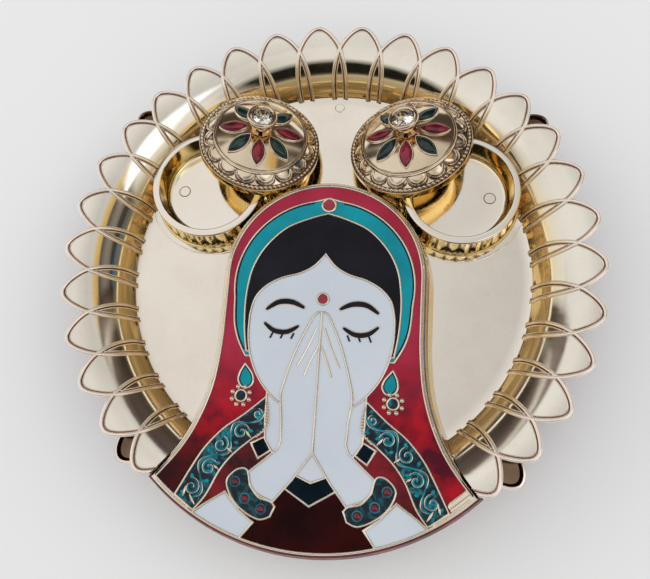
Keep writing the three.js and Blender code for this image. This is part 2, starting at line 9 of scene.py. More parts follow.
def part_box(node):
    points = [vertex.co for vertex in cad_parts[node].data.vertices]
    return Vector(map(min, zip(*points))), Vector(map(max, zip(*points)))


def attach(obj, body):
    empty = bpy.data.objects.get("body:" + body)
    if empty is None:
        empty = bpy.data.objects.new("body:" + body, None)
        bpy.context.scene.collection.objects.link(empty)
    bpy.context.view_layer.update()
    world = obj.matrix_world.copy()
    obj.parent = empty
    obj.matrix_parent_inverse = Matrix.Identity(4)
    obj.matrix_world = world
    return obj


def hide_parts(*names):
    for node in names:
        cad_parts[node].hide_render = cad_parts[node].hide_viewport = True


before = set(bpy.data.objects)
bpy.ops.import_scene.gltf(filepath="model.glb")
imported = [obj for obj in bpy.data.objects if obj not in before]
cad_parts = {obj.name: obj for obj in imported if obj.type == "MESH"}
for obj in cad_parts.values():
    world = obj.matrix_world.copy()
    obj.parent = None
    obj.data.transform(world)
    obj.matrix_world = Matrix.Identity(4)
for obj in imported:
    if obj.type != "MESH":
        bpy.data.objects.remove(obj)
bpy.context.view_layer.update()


# Driving dimensions in millimetres, round the tray's own axis, with the table at z = 0
PETALS = 34
TIP_RADIUS = 100.0
VALLEY_RADIUS = 92.3
PETAL_POWER = 1.5
TIP_ROUNDING = 0.12
FLOOR_RADIUS = 78.3
FLOOR_LIFT = 8.0
WALL = 1.8
FLOOR_TOP = FLOOR_LIFT + WALL
RIM_RISE = 17.7
RIM_TOP = FLOOR_TOP + RIM_RISE
EDGE_DEPTH = 3.2
COVE_WIDTH = TIP_RADIUS - FLOOR_RADIUS
LEG_REACH = 0.46
LEG_POWER = 1.79

CUP_X = 49.8
CUP_Y = 31.4
CUP_TOP = FLOOR_TOP + 11
CUP_FLOOR = FLOOR_TOP + 2
FLUTES = 32

PANEL_TOP = RIM_TOP - 2
SKIRT_BASE = PANEL_TOP - 4.4
HEAD_Y = -7.0
HEAD_RADIUS = 36.3
HEM_Y = -20.0
HEM_RADIUS = 82.0
HEM_ANGLE = 41.6
GOLD_LINE = 0.66
BORDER_LINE = 1.1
HEM_LINE = 1.0
HEM_EDGE = 0.55
HEM_OPENING = TIP_RADIUS + 2.3

AXIS_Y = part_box("tray")[1].y * 1000 - TIP_RADIUS * math.cos(math.pi / PETALS)
TURN = 2 * math.pi


# Mesh helpers


def make(name, points, faces, materials, body="holder", slots=None, place=None, sharp=35, stands_for=()):
    """A mesh piece from points in millimetres, moved by place, that rides on a body."""
    points = np.asarray(points, float).reshape(-1, 3)
    if place is not None:
        turn = np.array(place.to_3x3(), float)
        points = points @ turn.T + np.array(place.translation, float)
    points = (points + np.array([0, AXIS_Y, 0])) / 1000
    mesh = bpy.data.meshes.new(name)
    mesh.from_pydata(points.tolist(), [], [list(map(int, face)) for face in faces])
    mesh.validate()
    for material in materials:
        mesh.materials.append(material)
    if slots is not None:
        mesh.polygons.foreach_set("material_index", np.asarray(slots, np.int32))
    mesh.shade_smooth()
    mesh.set_sharp_from_angle(angle=math.radians(sharp))
    piece = bpy.data.objects.new(name, mesh)
    bpy.context.scene.collection.objects.link(piece)
    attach(piece, body)
    if stands_for:
        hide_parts(*stands_for)
    return piece


def grid_faces(rows, columns, closed=True):
    """Quads between rows of points that all have as many columns."""
    faces = []
    last = columns if closed else columns - 1
    for row in range(rows - 1):
        for column in range(last):
            following = (column + 1) % columns
            low = row * columns
            high = low + columns
            faces.append((low + column, low + following, high + following, high + column))
    return faces


def lathe(profile, segments):
    """Points and faces of a profile of (radius, height) turned round the Z axis."""
    angles = np.arange(segments) * TURN / segments
    points = []
    for radius, height in profile:
        radius = max(radius, 0.001)
        for angle in angles:
            points.append((radius * math.cos(angle), radius * math.sin(angle), height))
    return points, grid_faces(len(profile), segments)


def joined(parts):
    """Several (points, faces) pairs as one."""
    points, faces = [], []
    for more_points, more_faces in parts:
        start = len(points)
        points.extend([tuple(p) for p in more_points])
        faces.extend([tuple(start + i for i in face) for face in more_faces])
    return points, faces


def ribbon(path, widths, profile, up=(0, 0, 1), closed=False):
    """A strip along a path. The profile gives (across, up) shares of the width at each point."""
    path = np.asarray(path, float)
    count = len(path)
    widths = np.broadcast_to(np.asarray(widths, float), (count,))
    if closed:
        tangent = np.roll(path, -1, 0) - np.roll(path, 1, 0)
    else:
        tangent = np.gradient(path, axis=0)
    tangent /= np.linalg.norm(tangent, axis=1)[:, None] + 1e-12
    ups = np.broadcast_to(np.asarray(up, float), (count, 3))
    across = np.cross(ups, tangent)
    across /= np.linalg.norm(across, axis=1)[:, None] + 1e-12
    profile = np.asarray(profile, float)
    points = (
        path[:, None]
        + across[:, None] * profile[None, :, :1] * widths[:, None, None]
        + ups[:, None] * profile[None, :, 1:] * widths[:, None, None]
    )
    columns = len(profile)
    faces = []
    for row in range(count if closed else count - 1):
        low, high = row * columns, (row + 1) % count * columns
        for column in range(columns - 1):
            faces.append((low + column, low + column + 1, high + column + 1, high + column))
    return points.reshape(-1, 3), faces


ROUND = [(-0.5, -0.3), (-0.5, 0.05), (-0.36, 0.3), (0, 0.42), (0.36, 0.3), (0.5, 0.05), (0.5, -0.3)]
FLAT = [(-0.5, 0), (-0.25, 0.03), (0, 0.04), (0.25, 0.03), (0.5, 0)]


def ball(centre, radius, height=None, rings=4, segments=12):
    """The upper half of a flattened ball."""
    height = radius if height is None else height
    profile = []
    for i in range(rings + 1):
        angle = math.pi / 2 * i / rings
        profile.append((radius * math.cos(angle), height * math.sin(angle)))
    points, faces = lathe([(radius, -0.4)] + profile, segments)
    return np.asarray(points) + np.asarray(centre, float), faces


# Materials


class Finish:
    """A material made of nodes, with short calls for the ones that are used often."""

    def __init__(self, name):
        self.material = bpy.data.materials.new(name)
        self.material.use_nodes = True
        self.tree = self.material.node_tree
        self.shader = self.tree.nodes["Principled BSDF"]
        self.place = self.tree.nodes.new("ShaderNodeTexCoord")

    def node(self, kind, **values):
        made = self.tree.nodes.new(kind)
        for key, value in values.items():
            setattr(made, key, value)
        return made

    def link(self, source, target):
        self.tree.links.new(source, target)

    def feed(self, value, target):
        """Links a node's output to a socket, or sets a plain number or colour on it."""
        if hasattr(value, "is_linked"):
            self.link(value, target)
        else:
            target.default_value = (*value, 1) if isinstance(value, tuple) else value

    def noise(self, scale, detail=3.0, roughness=0.5):
        texture = self.node("ShaderNodeTexNoise")
        texture.inputs["Scale"].default_value = scale
        texture.inputs["Detail"].default_value = detail
        texture.inputs["Roughness"].default_value = roughness
        self.link(self.place.outputs["Object"], texture.inputs["Vector"])
        return texture.outputs["Fac"]

    def ramp(self, source, stops):
        made = self.node("ShaderNodeValToRGB")
        elements = made.color_ramp.elements
        while len(elements) < len(stops):
            elements.new(0.5)
        for element, (position, colour) in zip(elements, stops):
            element.position = position
            element.color = (*colour, 1)
        self.link(source, made.inputs["Fac"])
        return made.outputs["Color"]

    def spread(self, source, low, high, start=0.3, end=0.7):
        made = self.node("ShaderNodeMapRange")
        for key, value in (("From Min", start), ("From Max", end), ("To Min", low), ("To Max", high)):
            made.inputs[key].default_value = value
        self.link(source, made.inputs["Value"])
        return made.outputs["Result"]

    def mix(self, share, first, second, mode="MIX"):
        made = self.node("ShaderNodeMix", data_type="RGBA", blend_type=mode)
        for key, value in ((0, share), (6, first), (7, second)):
            self.feed(value, made.inputs[key])
        return made.outputs[2]

    def bump(self, source, strength, distance=0.0002):
        made = self.node("ShaderNodeBump")
        made.inputs["Strength"].default_value = strength
        made.inputs["Distance"].default_value = distance
        self.link(source, made.inputs["Height"])
        self.link(made.outputs["Normal"], self.shader.inputs["Normal"])

    def set(self, **values):
        for key, value in values.items():
            self.feed(value, self.shader.inputs[key.replace("_", " ")])


WORN_COPPER = (0.32, 0.18, 0.08)


def plated(finish, colour, rough, ripple, metal=1.0):
    """Plated metal: worn specks, an uneven gloss and a fine ripple."""
    worn = finish.spread(finish.noise(900, 2, 0.6), 0, 0.1, 0.62, 0.75)
    finish.set(
        Base_Color=finish.mix(worn, colour, WORN_COPPER),
        Metallic=metal,
        Roughness=finish.spread(finish.noise(160, 4, 0.65), *rough),
    )
    finish.bump(finish.noise(70, 3, 0.55), ripple, 0.0006)
    return finish.material


def gold_finish(name, light, dark, rough, ripple):
    finish = Finish(name)
    return plated(finish, finish.ramp(finish.noise(38, 4, 0.6), [(0.35, dark), (0.62, light)]), rough, ripple)


def radial_gold(name, stops, rough=(0.05, 0.12), metal=1.0):
    """Gold with a painted reflection: its tone changes with the distance from the tray's axis, deeper where the
    cove reflects itself.
    """
    finish = Finish(name)
    flat = finish.node("ShaderNodeMapping")
    flat.inputs["Location"].default_value = (0, -AXIS_Y / 1000, 0)
    flat.inputs["Scale"].default_value = (1, 1, 0)
    finish.link(finish.place.outputs["Object"], flat.inputs["Vector"])
    reach = finish.node("ShaderNodeVectorMath", operation="LENGTH")
    finish.link(flat.outputs["Vector"], reach.inputs[0])
    share = finish.spread(reach.outputs["Value"], 0, 1, 0.077, 0.101)
    tone = finish.ramp(share, stops)
    cloud = finish.ramp(finish.noise(38, 4, 0.6), [(0.35, (0.93, 0.92, 0.9)), (0.62, (1, 1, 1))])
    metal = metal if isinstance(metal, float) else finish.ramp(share, metal)
    return plated(finish, finish.mix(1.0, tone, cloud, "MULTIPLY"), rough, 0.06, metal)


def enamel_finish(name, light, dark, scale, gloss, rough=(0.1, 0.22), ripple=0.15):
    finish = Finish(name)
    colour = finish.ramp(finish.noise(scale, 4, 0.6), [(0.35, dark), (0.65, light)])
    speck = finish.spread(finish.noise(2200, 1, 0.5), 0, 0.35, 0.7, 0.78)
    finish.set(
        Base_Color=finish.mix(speck, colour, tuple(0.55 * c for c in dark)),
        Metallic=0.0,
        Roughness=finish.spread(finish.noise(240, 3, 0.6), *rough),
        Specular_IOR_Level=gloss,
    )
    finish.bump(finish.noise(90, 3, 0.5), ripple, 0.0005)
    return finish.material


def swirl_finish(name, scale, stops):
    """Enamel in which lighter and darker colours swirl like marble."""
    finish = Finish(name)
    swirl = finish.node("ShaderNodeTexNoise")
    swirl.inputs["Scale"].default_value = scale
    swirl.inputs["Detail"].default_value = 2.5
    swirl.inputs["Distortion"].default_value = 2.2
    finish.link(finish.place.outputs["Object"], swirl.inputs["Vector"])
    finish.set(
        Base_Color=finish.ramp(swirl.outputs["Fac"], stops),
        Roughness=finish.spread(finish.noise(240, 3, 0.6), 0.08, 0.2),
        Specular_IOR_Level=0.3,
    )
    finish.bump(swirl.outputs["Fac"], 0.35, 0.0006)
    return finish.material


def veil_finish():
    finish = Finish("veil_enamel")
    separate = finish.node("ShaderNodeSeparateXYZ")
    finish.link(finish.place.outputs["Object"], separate.inputs["Vector"])
    low = finish.spread(separate.outputs["Y"], 1, 0, -0.058, -0.034)
    lowest = finish.spread(separate.outputs["Y"], 1, 0, -0.074, -0.058)
    left = finish.spread(separate.outputs["X"], 1, 0, -0.036, -0.026)
    corner = finish.node("ShaderNodeMath", operation="MULTIPLY")
    finish.link(lowest, corner.inputs[0])
    finish.link(left, corner.inputs[1])
    even = finish.ramp(finish.noise(60, 3, 0.5), [(0.35, (0.29, 0.016, 0.036)), (0.66, (0.40, 0.026, 0.058))])
    pooled = finish.ramp(finish.noise(105, 3, 0.55), [
        (0.36, (0.075, 0.003, 0.012)), (0.48, (0.24, 0.004, 0.014)), (0.64, (0.42, 0.006, 0.014))])
    deep = finish.ramp(finish.noise(80, 4, 0.6), [(0.4, (0.025, 0.0015, 0.002)), (0.66, (0.062, 0.002, 0.003))])
    finish.set(
        Base_Color=finish.mix(corner.outputs[0], finish.mix(low, even, pooled), deep),
        Roughness=finish.spread(finish.noise(240, 3, 0.6), 0.08, 0.2),
        Specular_IOR_Level=0.14,
    )
    finish.bump(finish.noise(90, 3, 0.5), 0.2, 0.0005)
    return finish.material


def stone_finish(name, light, dark):
    finish = Finish(name)
    finish.set(
        Base_Color=finish.ramp(finish.noise(180, 3, 0.5), [(0.38, dark), (0.64, light)]),
        Roughness=finish.spread(finish.noise(500, 2, 0.5), 0.03, 0.08),
        IOR=1.5,
        Coat_Weight=0.25,
        Coat_Roughness=0.02,
    )
    finish.bump(finish.noise(130, 2, 0.5), 0.08, 0.0004)
    return finish.material


def crystal_finish():
    finish = Finish("cut_crystal")
    finish.set(
        Base_Color=finish.ramp(finish.noise(300, 2, 0.5), [(0.4, (0.86, 0.84, 0.78)), (0.62, (0.98, 0.97, 0.94))]),
        Roughness=finish.spread(finish.noise(700, 2, 0.5), 0.0, 0.04),
        Transmission_Weight=1.0,
        IOR=1.62,
    )
    return finish.material


def plastic_finish(name, light, dark):
    finish = Finish(name)
    finish.set(
        Base_Color=finish.ramp(finish.noise(90, 4, 0.6), [(0.38, dark), (0.64, light)]),
        Roughness=finish.spread(finish.noise(260, 3, 0.6), 0.28, 0.45),
    )
    finish.bump(finish.noise(400, 3, 0.6), 0.2, 0.0002)
    return finish.material


# painted reflection: deep orange gold with less metalness at the cove's foot, paler gold on the floor and out to
# the rim
GOLD = radial_gold("tray_gold_painted_reflection", [
    (0.0, (0.93, 0.855, 0.75)), (0.03, (0.93, 0.855, 0.75)), (0.06, (0.93, 0.62, 0.22)),
    (0.18, (0.94, 0.68, 0.3)), (0.27, (0.93, 0.81, 0.6)), (0.42, (0.93, 0.87, 0.76)), (1.0, (0.93, 0.875, 0.77))],
    metal=[(0.03, (1, 1, 1)), (0.07, (0.7, 0.7, 0.7)), (0.19, (0.7, 0.7, 0.7)), (0.26, (1, 1, 1))])
# painted shade: dark brown gold in the creases between the cup's flutes, on the mould rings' outer edges and in
# the lid's grooves
GROOVE = gold_finish("groove_shade_gold", (0.25, 0.145, 0.075), (0.12, 0.065, 0.035), (0.16, 0.3), 0.1)
# painted reflection: the bead lines are deeper gold near the floor and pale pink gold out at the rim
BEAD_GOLD = radial_gold("bead_gold_painted_reflection", [
    (0.0, (0.88, 0.68, 0.4)), (0.25, (0.88, 0.68, 0.4)), (0.5, (0.95, 0.83, 0.71)), (1.0, (0.98, 0.87, 0.79))],
    (0.1, 0.2), 0.6)
# painted shade: dark gold in the groove between the two ribs of each petal bead
RIM_GROOVE = gold_finish("bead_groove_shade", (0.42, 0.25, 0.17), (0.26, 0.14, 0.09), (0.16, 0.3), 0.1)
PALE_GOLD = gold_finish("pale_gold", (0.94, 0.87, 0.77), (0.92, 0.83, 0.7), (0.05, 0.12), 0.06)
# painted reflection: deeper gold for the cup walls and for the lid's lip and underside, while rims and floors keep
# the paler gold
DEEP_REFLECTION_GOLD = gold_finish("deep_reflection_gold", (0.94, 0.76, 0.38), (0.88, 0.64, 0.25), (0.05, 0.13), 0.08)
LID_GOLD = gold_finish("lid_gold", (0.86, 0.73, 0.55), (0.74, 0.58, 0.4), (0.06, 0.14), 0.08)
# painted shade and painted reflection: dark bronze-brown gold for the foot's top field, which lies under the
# tray's maroon underside
FOOT_SHADE_REFLECTION = gold_finish("foot_field", (0.27, 0.18, 0.1), (0.1, 0.055, 0.04), (0.1, 0.2), 0.1)
STEM_GOLD = gold_finish("stem_gold", (0.8, 0.5, 0.24), (0.62, 0.32, 0.13), (0.05, 0.12), 0.08)
LINE_GOLD = gold_finish("line_gold", (0.93, 0.84, 0.71), (0.86, 0.73, 0.56), (0.14, 0.26), 0.12)
MAROON = plastic_finish("maroon_plastic", (0.17, 0.016, 0.02), (0.085, 0.008, 0.011))
VEIL = veil_finish()
BLOUSE = enamel_finish("blouse_enamel", (0.034, 0.002, 0.002), (0.01, 0.001, 0.0012), 60, 0.06)
SLEEVE = enamel_finish("sleeve_enamel", (0.21, 0.006, 0.014), (0.03, 0.002, 0.004), 75, 0.2)
BORDER = swirl_finish("border_enamel", 130, [
    (0.42, (0.001, 0.006, 0.011)), (0.52, (0.002, 0.02, 0.035)), (0.58, (0.003, 0.075, 0.11)),
    (0.63, (0.01, 0.2, 0.22)), (0.68, (0.003, 0.05, 0.08))])
BANGLE = swirl_finish("bangle_enamel", 150, [
    (0.4, (0.001, 0.006, 0.011)), (0.52, (0.002, 0.018, 0.028)), (0.6, (0.003, 0.085, 0.1)),
    (0.66, (0.002, 0.02, 0.03))])
COLLAR = enamel_finish("collar_enamel", (0.0015, 0.009, 0.017), (0.0006, 0.004, 0.008), 90, 0.06)
TEAL = enamel_finish("teal_enamel", (0.0, 0.30, 0.36), (0.0, 0.22, 0.28), 60, 0.2)
LEAF = enamel_finish("leaf_enamel", (0.005, 0.30, 0.36), (0.0, 0.09, 0.14), 160, 0.3)
HAIR = enamel_finish("hair_enamel", (0.011, 0.011, 0.017), (0.006, 0.006, 0.010), 50, 0.12)
WHITE = enamel_finish("white_enamel", (0.61, 0.66, 0.72), (0.57, 0.615, 0.68), 30, 0.25, (0.12, 0.24), 0.06)
# dark enamel of the brows and lashes, also used for the painted shadow lines of the headband and earring drops
BROW_AND_SHADOW = enamel_finish("brow_and_shadow_enamel", (0.012, 0.012, 0.018), (0.006, 0.006, 0.01), 80, 0.12)
RED_STONE = stone_finish("red_stone", (0.24, 0.004, 0.018), (0.085, 0.001, 0.007))
GREEN_STONE = stone_finish("green_stone", (0.002, 0.03, 0.021), (0.0006, 0.007, 0.006))
RUBY = stone_finish("ruby_cabochon", (0.36, 0.006, 0.035), (0.16, 0.002, 0.014))
DARK_RUBY = stone_finish("dark_ruby", (0.2, 0.003, 0.012), (0.08, 0.001, 0.005))
CRYSTAL = crystal_finish()


# Flat outlines of the figure panel


def catmull(points, steps):
    """A smooth line through points, with so many steps between each two of them."""
    points = np.asarray(points, float)
    last = len(points) - 1
    line = []
    for i in range(last):
        before, here, there, after = points[max(i - 1, 0)], points[i], points[i + 1], points[min(i + 2, last)]
        first, second = (there - before) / 2, (after - here) / 2
        for step in range(steps):
            t = step / steps
            line.append(
                (2 * here - 2 * there + first + second) * t**3
                + (-3 * here + 3 * there - 2 * first - second) * t**2
                + first * t
                + here
            )
    line.append(points[last])
    return [tuple(p) for p in line]


def arc(x, y, radius, start, end, steps):
    angles = np.radians(np.linspace(start, end, steps + 1))
    return [(x + radius * math.cos(a), y + radius * math.sin(a)) for a in angles]


def mirrored(line):
    return [(-x, y) for x, y in reversed(line)]


def area(outline):
    x, y = np.asarray(outline, float).T
    return 0.5 * float(np.sum(x * np.roll(y, -1) - np.roll(x, -1) * y))


def tidied(outline):
    kept = [p for i, p in enumerate(outline) if math.dist(p, outline[i - 1]) > 0.04]
    return kept if area(kept) > 0 else kept[::-1]


def grown(outline, distance):
    """The outline moved outwards by a distance, or inwards when it is negative."""
    points = np.asarray(outline, float)
    before = points - np.roll(points, 1, 0)
    after = np.roll(points, -1, 0) - points
    before /= np.linalg.norm(before, axis=1)[:, None]
    after /= np.linalg.norm(after, axis=1)[:, None]
    normal = np.stack([before[:, 1] + after[:, 1], -before[:, 0] - after[:, 0]], 1)
    normal /= np.linalg.norm(normal, axis=1)[:, None] + 1e-9
    spread = np.maximum(0.5, normal[:, 0] * before[:, 1] - normal[:, 1] * before[:, 0])
    return points + normal * (distance / spread)[:, None]


def hem_point(radius, angle):
    return (radius * math.sin(math.radians(angle)), HEM_Y - radius * math.cos(math.radians(angle)))


SIDE = [(36.3, -7), (36.1, -22), (36.2, -35), (37.7, -49), (41.4, -61.3), (46.6, -71.3)]


def panel_outline():
    half = (
        arc(0, HEAD_Y, HEAD_RADIUS, 90, 0, 32)
        + catmull(SIDE + [hem_point(HEM_RADIUS, HEM_ANGLE)], 5)
        + arc(0, HEM_Y, HEM_RADIUS, HEM_ANGLE - 90, -90, 26)
    )
    return tidied(half + mirrored(half))


def both(half):
    return tidied(half + mirrored(half))


def inset_panel(side_inset, hem_inset):
    lowest = HEM_RADIUS - hem_inset
    kept = []
    for x, y in grown(panel_outline(), -side_inset):
        reach = math.hypot(x, y - HEM_Y)
        if y < HEM_Y and reach > lowest:
            x, y = x * lowest / reach, HEM_Y + (y - HEM_Y) * lowest / reach
        kept.append((x, y))
    return tidied(kept)


def motifs():
    """Name or names, outline and material of each motif, from the back to the front."""
    band = (
        [(0, 23.6)]
        + arc(0, -10.5, 33, 80, -10, 24)
        + catmull([(32.4, -17), (31.6, -26), (29.6, -32.5), (26.4, -38.2)], 5)
    )
    hair = catmull(
        [(0, 17.3), (7, 15.1), (15.6, 11), (22.5, 3.8), (26.5, -4), (28, -12), (28.3, -20), (27.6, -29),
         (26.2, -36.5)], 5)
    hairline = catmull([(0, 1.1), (4, -3.6), (9, -6.6), (15.5, -8.6), (21, -11.8), (24.8, -16.5), (26.2, -23)], 5)
    jaw = catmull([(26.2, -23), (26, -31), (24.3, -39), (20.6, -46.5), (15, -52.6), (8, -56.6), (0, -58)], 5)
    hand = (
        catmull(
            [(0.01, -21.1), (2.2, -21.9), (5.2, -27.5), (8.6, -36), (11.3, -45.2), (12.5, -51.5), (11.6, -59)], 5)
        + [(11.2, -67), (12.2, -69.8), (21.6, -78)]
        + catmull([(21.6, -78), (18.9, -83.7), (12.3, -86.8)], 5)
        + [(6.4, -79.6), (0.01, -70.3)]
    )
    bangle = catmull(
        [(20.4, -82), (21.7, -77.2), (24.9, -77), (28, -79.9), (28.1, -82.6), (25.9, -86.7), (21.4, -90.5),
         (16.3, -92.5), (12.7, -91.4)], 5
    ) + catmull([(11.4, -88.2), (13, -86.7), (17.1, -85.6), (20.4, -82)], 5)
    border = catmull(
        [(17.6, -52.4), (24.8, -58.8), (31.5, -64), (37.2, -70.6), (41.2, -77.6), (45.7, -86.5)], 5
    ) + catmull(
        [(38.9, -91.1), (35.1, -86), (31.3, -77.9), (27, -72.1), (21.1, -66.8), (16.8, -63.2), (16.1, -55.6)], 5)
    hem = HEM_RADIUS - HEM_EDGE + GOLD_LINE / 2
    blouse = [(0, -62), (16, -60), (21, -61.5), (26.5, -66), (32, -71.5), (36.2, -78), (41, -88)] + (
        arc(0, HEM_Y, hem, -60, -90, 14))
    arm = [(18.3, -93.6), (23.3, -90.1), (28.7, -84.6), (35.6, -89.1)] + arc(0, HEM_Y, hem, -61.5, -74.2, 8)
    neck = [(0, -45), (17.4, -49), (17.2, -60), (16.6, -66.8), (13.6, -71), (6, -77.5), (0, -80.4)]
    neckline = [(0, -80), (7, -77.2), (9.6, -81.6), (0, -87.4)]
    square = [(21.3, -68.3), (17, -66), (14.3, -70.3), (18.5, -73.1)]
    drop = catmull(
        [(26.1, -41.1), (23.4, -44.3), (22.6, -47), (23.6, -49), (25.2, -49.6), (27, -48.8), (28, -46.8),
         (27.6, -44), (26.1, -41.1)], 5)

    def pair(name, half, material):
        return [([f"{name}_left"], tidied(mirrored(half)), material), ([f"{name}_right"], tidied(half), material)]

    def disc(x, y, radius):
        return arc(x, y, radius, 0, 360, 28)

    return [
        (["enamel_veil"], inset_panel(BORDER_LINE - GOLD_LINE / 2, HEM_LINE), VEIL),
        (["enamel_sleeve_left", "enamel_blouse", "enamel_sleeve_right"], both(blouse), BLOUSE),
        *pair("enamel_border", border, BORDER),
        *pair("enamel_arm", arm, WHITE),
        *pair("enamel_square", square, COLLAR),
        (["enamel_neck_left", "enamel_chest", "enamel_neck_right"], both(neck), WHITE),
        (["enamel_neckline"], both(neckline), COLLAR),
        (["enamel_headband"], both(band), TEAL),
        (["enamel_hair"], both(hair), HAIR),
        (["enamel_face"], both(hairline + jaw), WHITE),
        *pair("enamel_hand", hand, WHITE),
        *pair("enamel_bangle", bangle, BANGLE),
        *pair("earring_drop", drop, TEAL),
        *pair("earring_centre", disc(26.5, -52.4, 2), BORDER),
        (["headband_ruby"], tidied(disc(0, 20.8, 2.5)), RUBY),
        (["forehead_ruby"], tidied(disc(0, -16.2, 2.1)), RUBY),
    ]


def within(points, outline):
    """Which of the points lie inside a closed outline."""
    outline = np.asarray(outline, float)
    x, y = points[:, 0][:, None], points[:, 1][:, None]
    x1, y1 = outline.T
    x2, y2 = np.roll(outline, -1, 0).T
    above, below = y1 <= y, y2 <= y
    side = (x2 - x1) * (y - y1) - (x - x1) * (y2 - y1)
    winding = np.sum(above & ~below & (side > 0), 1) - np.sum(~above & below & (side < 0), 1)
    return winding != 0


def gap_to(points, outline):
    """Distance of each point from a closed outline."""
    start = np.asarray(outline, float)
    run = np.roll(start, -1, 0) - start
    away = points[:, None] - start[None]
    share = np.clip((away * run[None]).sum(2) / ((run**2).sum(1)[None] + 1e-12), 0, 1)
    return np.sqrt((((away - share[:, :, None] * run[None]) ** 2).sum(2)).min(1))


# Tray


def petal_edge(side):
    """Radius of a petal's edge, where side is 0 at its tip and 1 at the valleys beside it."""
    rounded = (np.sqrt(np.square(side) + TIP_ROUNDING**2) - TIP_ROUNDING) / (
        math.sqrt(1 + TIP_ROUNDING**2) - TIP_ROUNDING)
    return VALLEY_RADIUS + (TIP_RADIUS - VALLEY_RADIUS) * (1 - rounded**PETAL_POWER)


def cove_height(radius):
    along = np.clip((np.asarray(radius, float) - FLOOR_RADIUS) / COVE_WIDTH, 0, 1)
    return FLOOR_TOP + RIM_RISE * np.sqrt(1 - (1 - along) ** 2)


def cove_radius(height):
    """Where the cove's skin is at a height."""
    rise = np.clip((height - FLOOR_TOP) / RIM_RISE, 0, 1)
    return FLOOR_RADIUS + COVE_WIDTH * (1 - np.sqrt(1 - rise**2))


def cove_point(swing, depth):
    across, down = RIM_RISE * math.cos(swing), COVE_WIDTH * math.sin(swing)
    radius = FLOOR_RADIUS + COVE_WIDTH * (1 - math.cos(swing))
    height = FLOOR_TOP + RIM_RISE * math.sin(swing)
    share = depth / math.hypot(across, down)
    return radius + across * share, height - down * share


def cut_with(piece, cutter):
    """Takes the cutter's body out of a piece for good."""
    change = piece.modifiers.new("cut", "BOOLEAN")
    change.operation = "DIFFERENCE"
    change.solver = "EXACT"
    change.object = cutter
    bpy.context.view_layer.update()
    graph = bpy.context.evaluated_depsgraph_get()
    mesh = bpy.data.meshes.new_from_object(piece.evaluated_get(graph))
    piece.modifiers.remove(change)
    piece.data = mesh
    mesh.shade_smooth()
    mesh.set_sharp_from_angle(angle=math.radians(35))
    bpy.data.objects.remove(cutter, do_unlink=True)


def panel_room(distance):
    """The panel's outline moved outwards, and past the petals in front of the hem."""
    kept = []
    for x, y in grown(panel_outline(), distance):
        if y < -70 and math.hypot(x, y - HEM_Y) > HEM_RADIUS + distance - 0.5:
            share = max(1.0, HEM_OPENING / math.hypot(x, y))
            x, y = x * share, y * share
        kept.append((x, y))
    return kept


def panel_cutter():
    rings = []
    for distance, height in ((2.4, SKIRT_BASE - 0.3), (1.2, PANEL_TOP - 0.8), (0.3, RIM_TOP + 3.2)):
        rings.extend([(x, y, height) for x, y in panel_room(distance)])
    count = len(panel_outline())
    faces = grid_faces(3, count)
    faces += [tuple(range(count))[::-1], tuple(range(2 * count, 3 * count))]
    return make("panel_cutter", rings, faces, [GOLD, MAROON], slots=[1] * len(faces))


def build_tray():
    per_petal = 16
    columns = PETALS * per_petal
    angles = np.arange(columns) * TURN / columns
    half = per_petal / 2
    side = np.abs((np.arange(columns) + half) % per_petal - half) / half
    edge = petal_edge(side)
    top_swing = np.arccos(1 - (edge - FLOOR_RADIUS) / COVE_WIDTH)
    rows = []
    for radius in (0.02, 12, 26, 40, 54, 66, 74):
        rows.append((np.full(columns, radius), np.full(columns, FLOOR_TOP)))
    fillet = 0.9
    rows.append((np.full(columns, FLOOR_RADIUS - fillet), np.full(columns, FLOOR_TOP)))
    rows.append((np.full(columns, FLOOR_RADIUS - 0.3 * fillet), np.full(columns, FLOOR_TOP + 0.3 * fillet)))
    cove_rows = 22
    for i in range(1, cove_rows + 1):
        swing = top_swing * (0.045 + 0.955 * i / cove_rows)
        radius = FLOOR_RADIUS + COVE_WIDTH * (1 - np.cos(swing))
        rows.append((radius, FLOOR_TOP + RIM_RISE * np.sin(swing)))
    gold_rows = len(rows)
    edge_height = cove_height(edge)
    rows.append((edge, edge_height - EDGE_DEPTH))
    rows.append((edge - WALL, edge_height - EDGE_DEPTH))
    for swing in np.radians((50, 42, 33, 24, 16, 8, 0)):
        radius, height = cove_point(swing, WALL)
        rows.append((np.full(columns, radius), np.full(columns, height)))
    rows.append((np.full(columns, FLOOR_RADIUS + 0.9), np.full(columns, FLOOR_LIFT)))
    rows.append((np.full(columns, 0.02), np.full(columns, FLOOR_LIFT)))
    points = np.concatenate(
        [np.stack([radius * np.cos(angles), radius * np.sin(angles), height], 1) for radius, height in rows]
    )
    faces = grid_faces(len(rows), columns)
    slots = [0 if i // columns < gold_rows - 1 else 1 for i in range(len(faces))]
    count = len(rows) * columns
    faces += [tuple(range(columns)), tuple(range(count - columns, count))[::-1]]
    slots += [0, 1]
    tray = make("tray_body", points, faces, [GOLD, MAROON], slots=slots, stands_for=["tray"])
    cut_with(tray, panel_cutter())


def petal_side(radius):
    """How far the bead's leg is from the petal's middle line at a radius, in half pitches."""
    share = (radius - FLOOR_RADIUS) / (VALLEY_RADIUS - FLOOR_RADIUS)
    return 1 + LEG_REACH * (1 - max(share, 0.0) ** LEG_POWER)


BEAD = [
    (-0.08, -0.6), (-0.08, 0.14), (0.06, 0.4), (0.4, 0.56), (0.88, 0.56), (1.2, 0.38), (1.34, 0.08),
    (1.6, 0.08), (1.68, 0.2), (1.84, 0.3), (2.02, 0.2), (2.14, -0.2),
]
BEAD_GROOVE = (5, 6, 7)
BEAD_ROOM = 0.45
LEG_START = FLOOR_RADIUS + 0.15
LEG_STEPS = 22
TIP_STEPS = 20


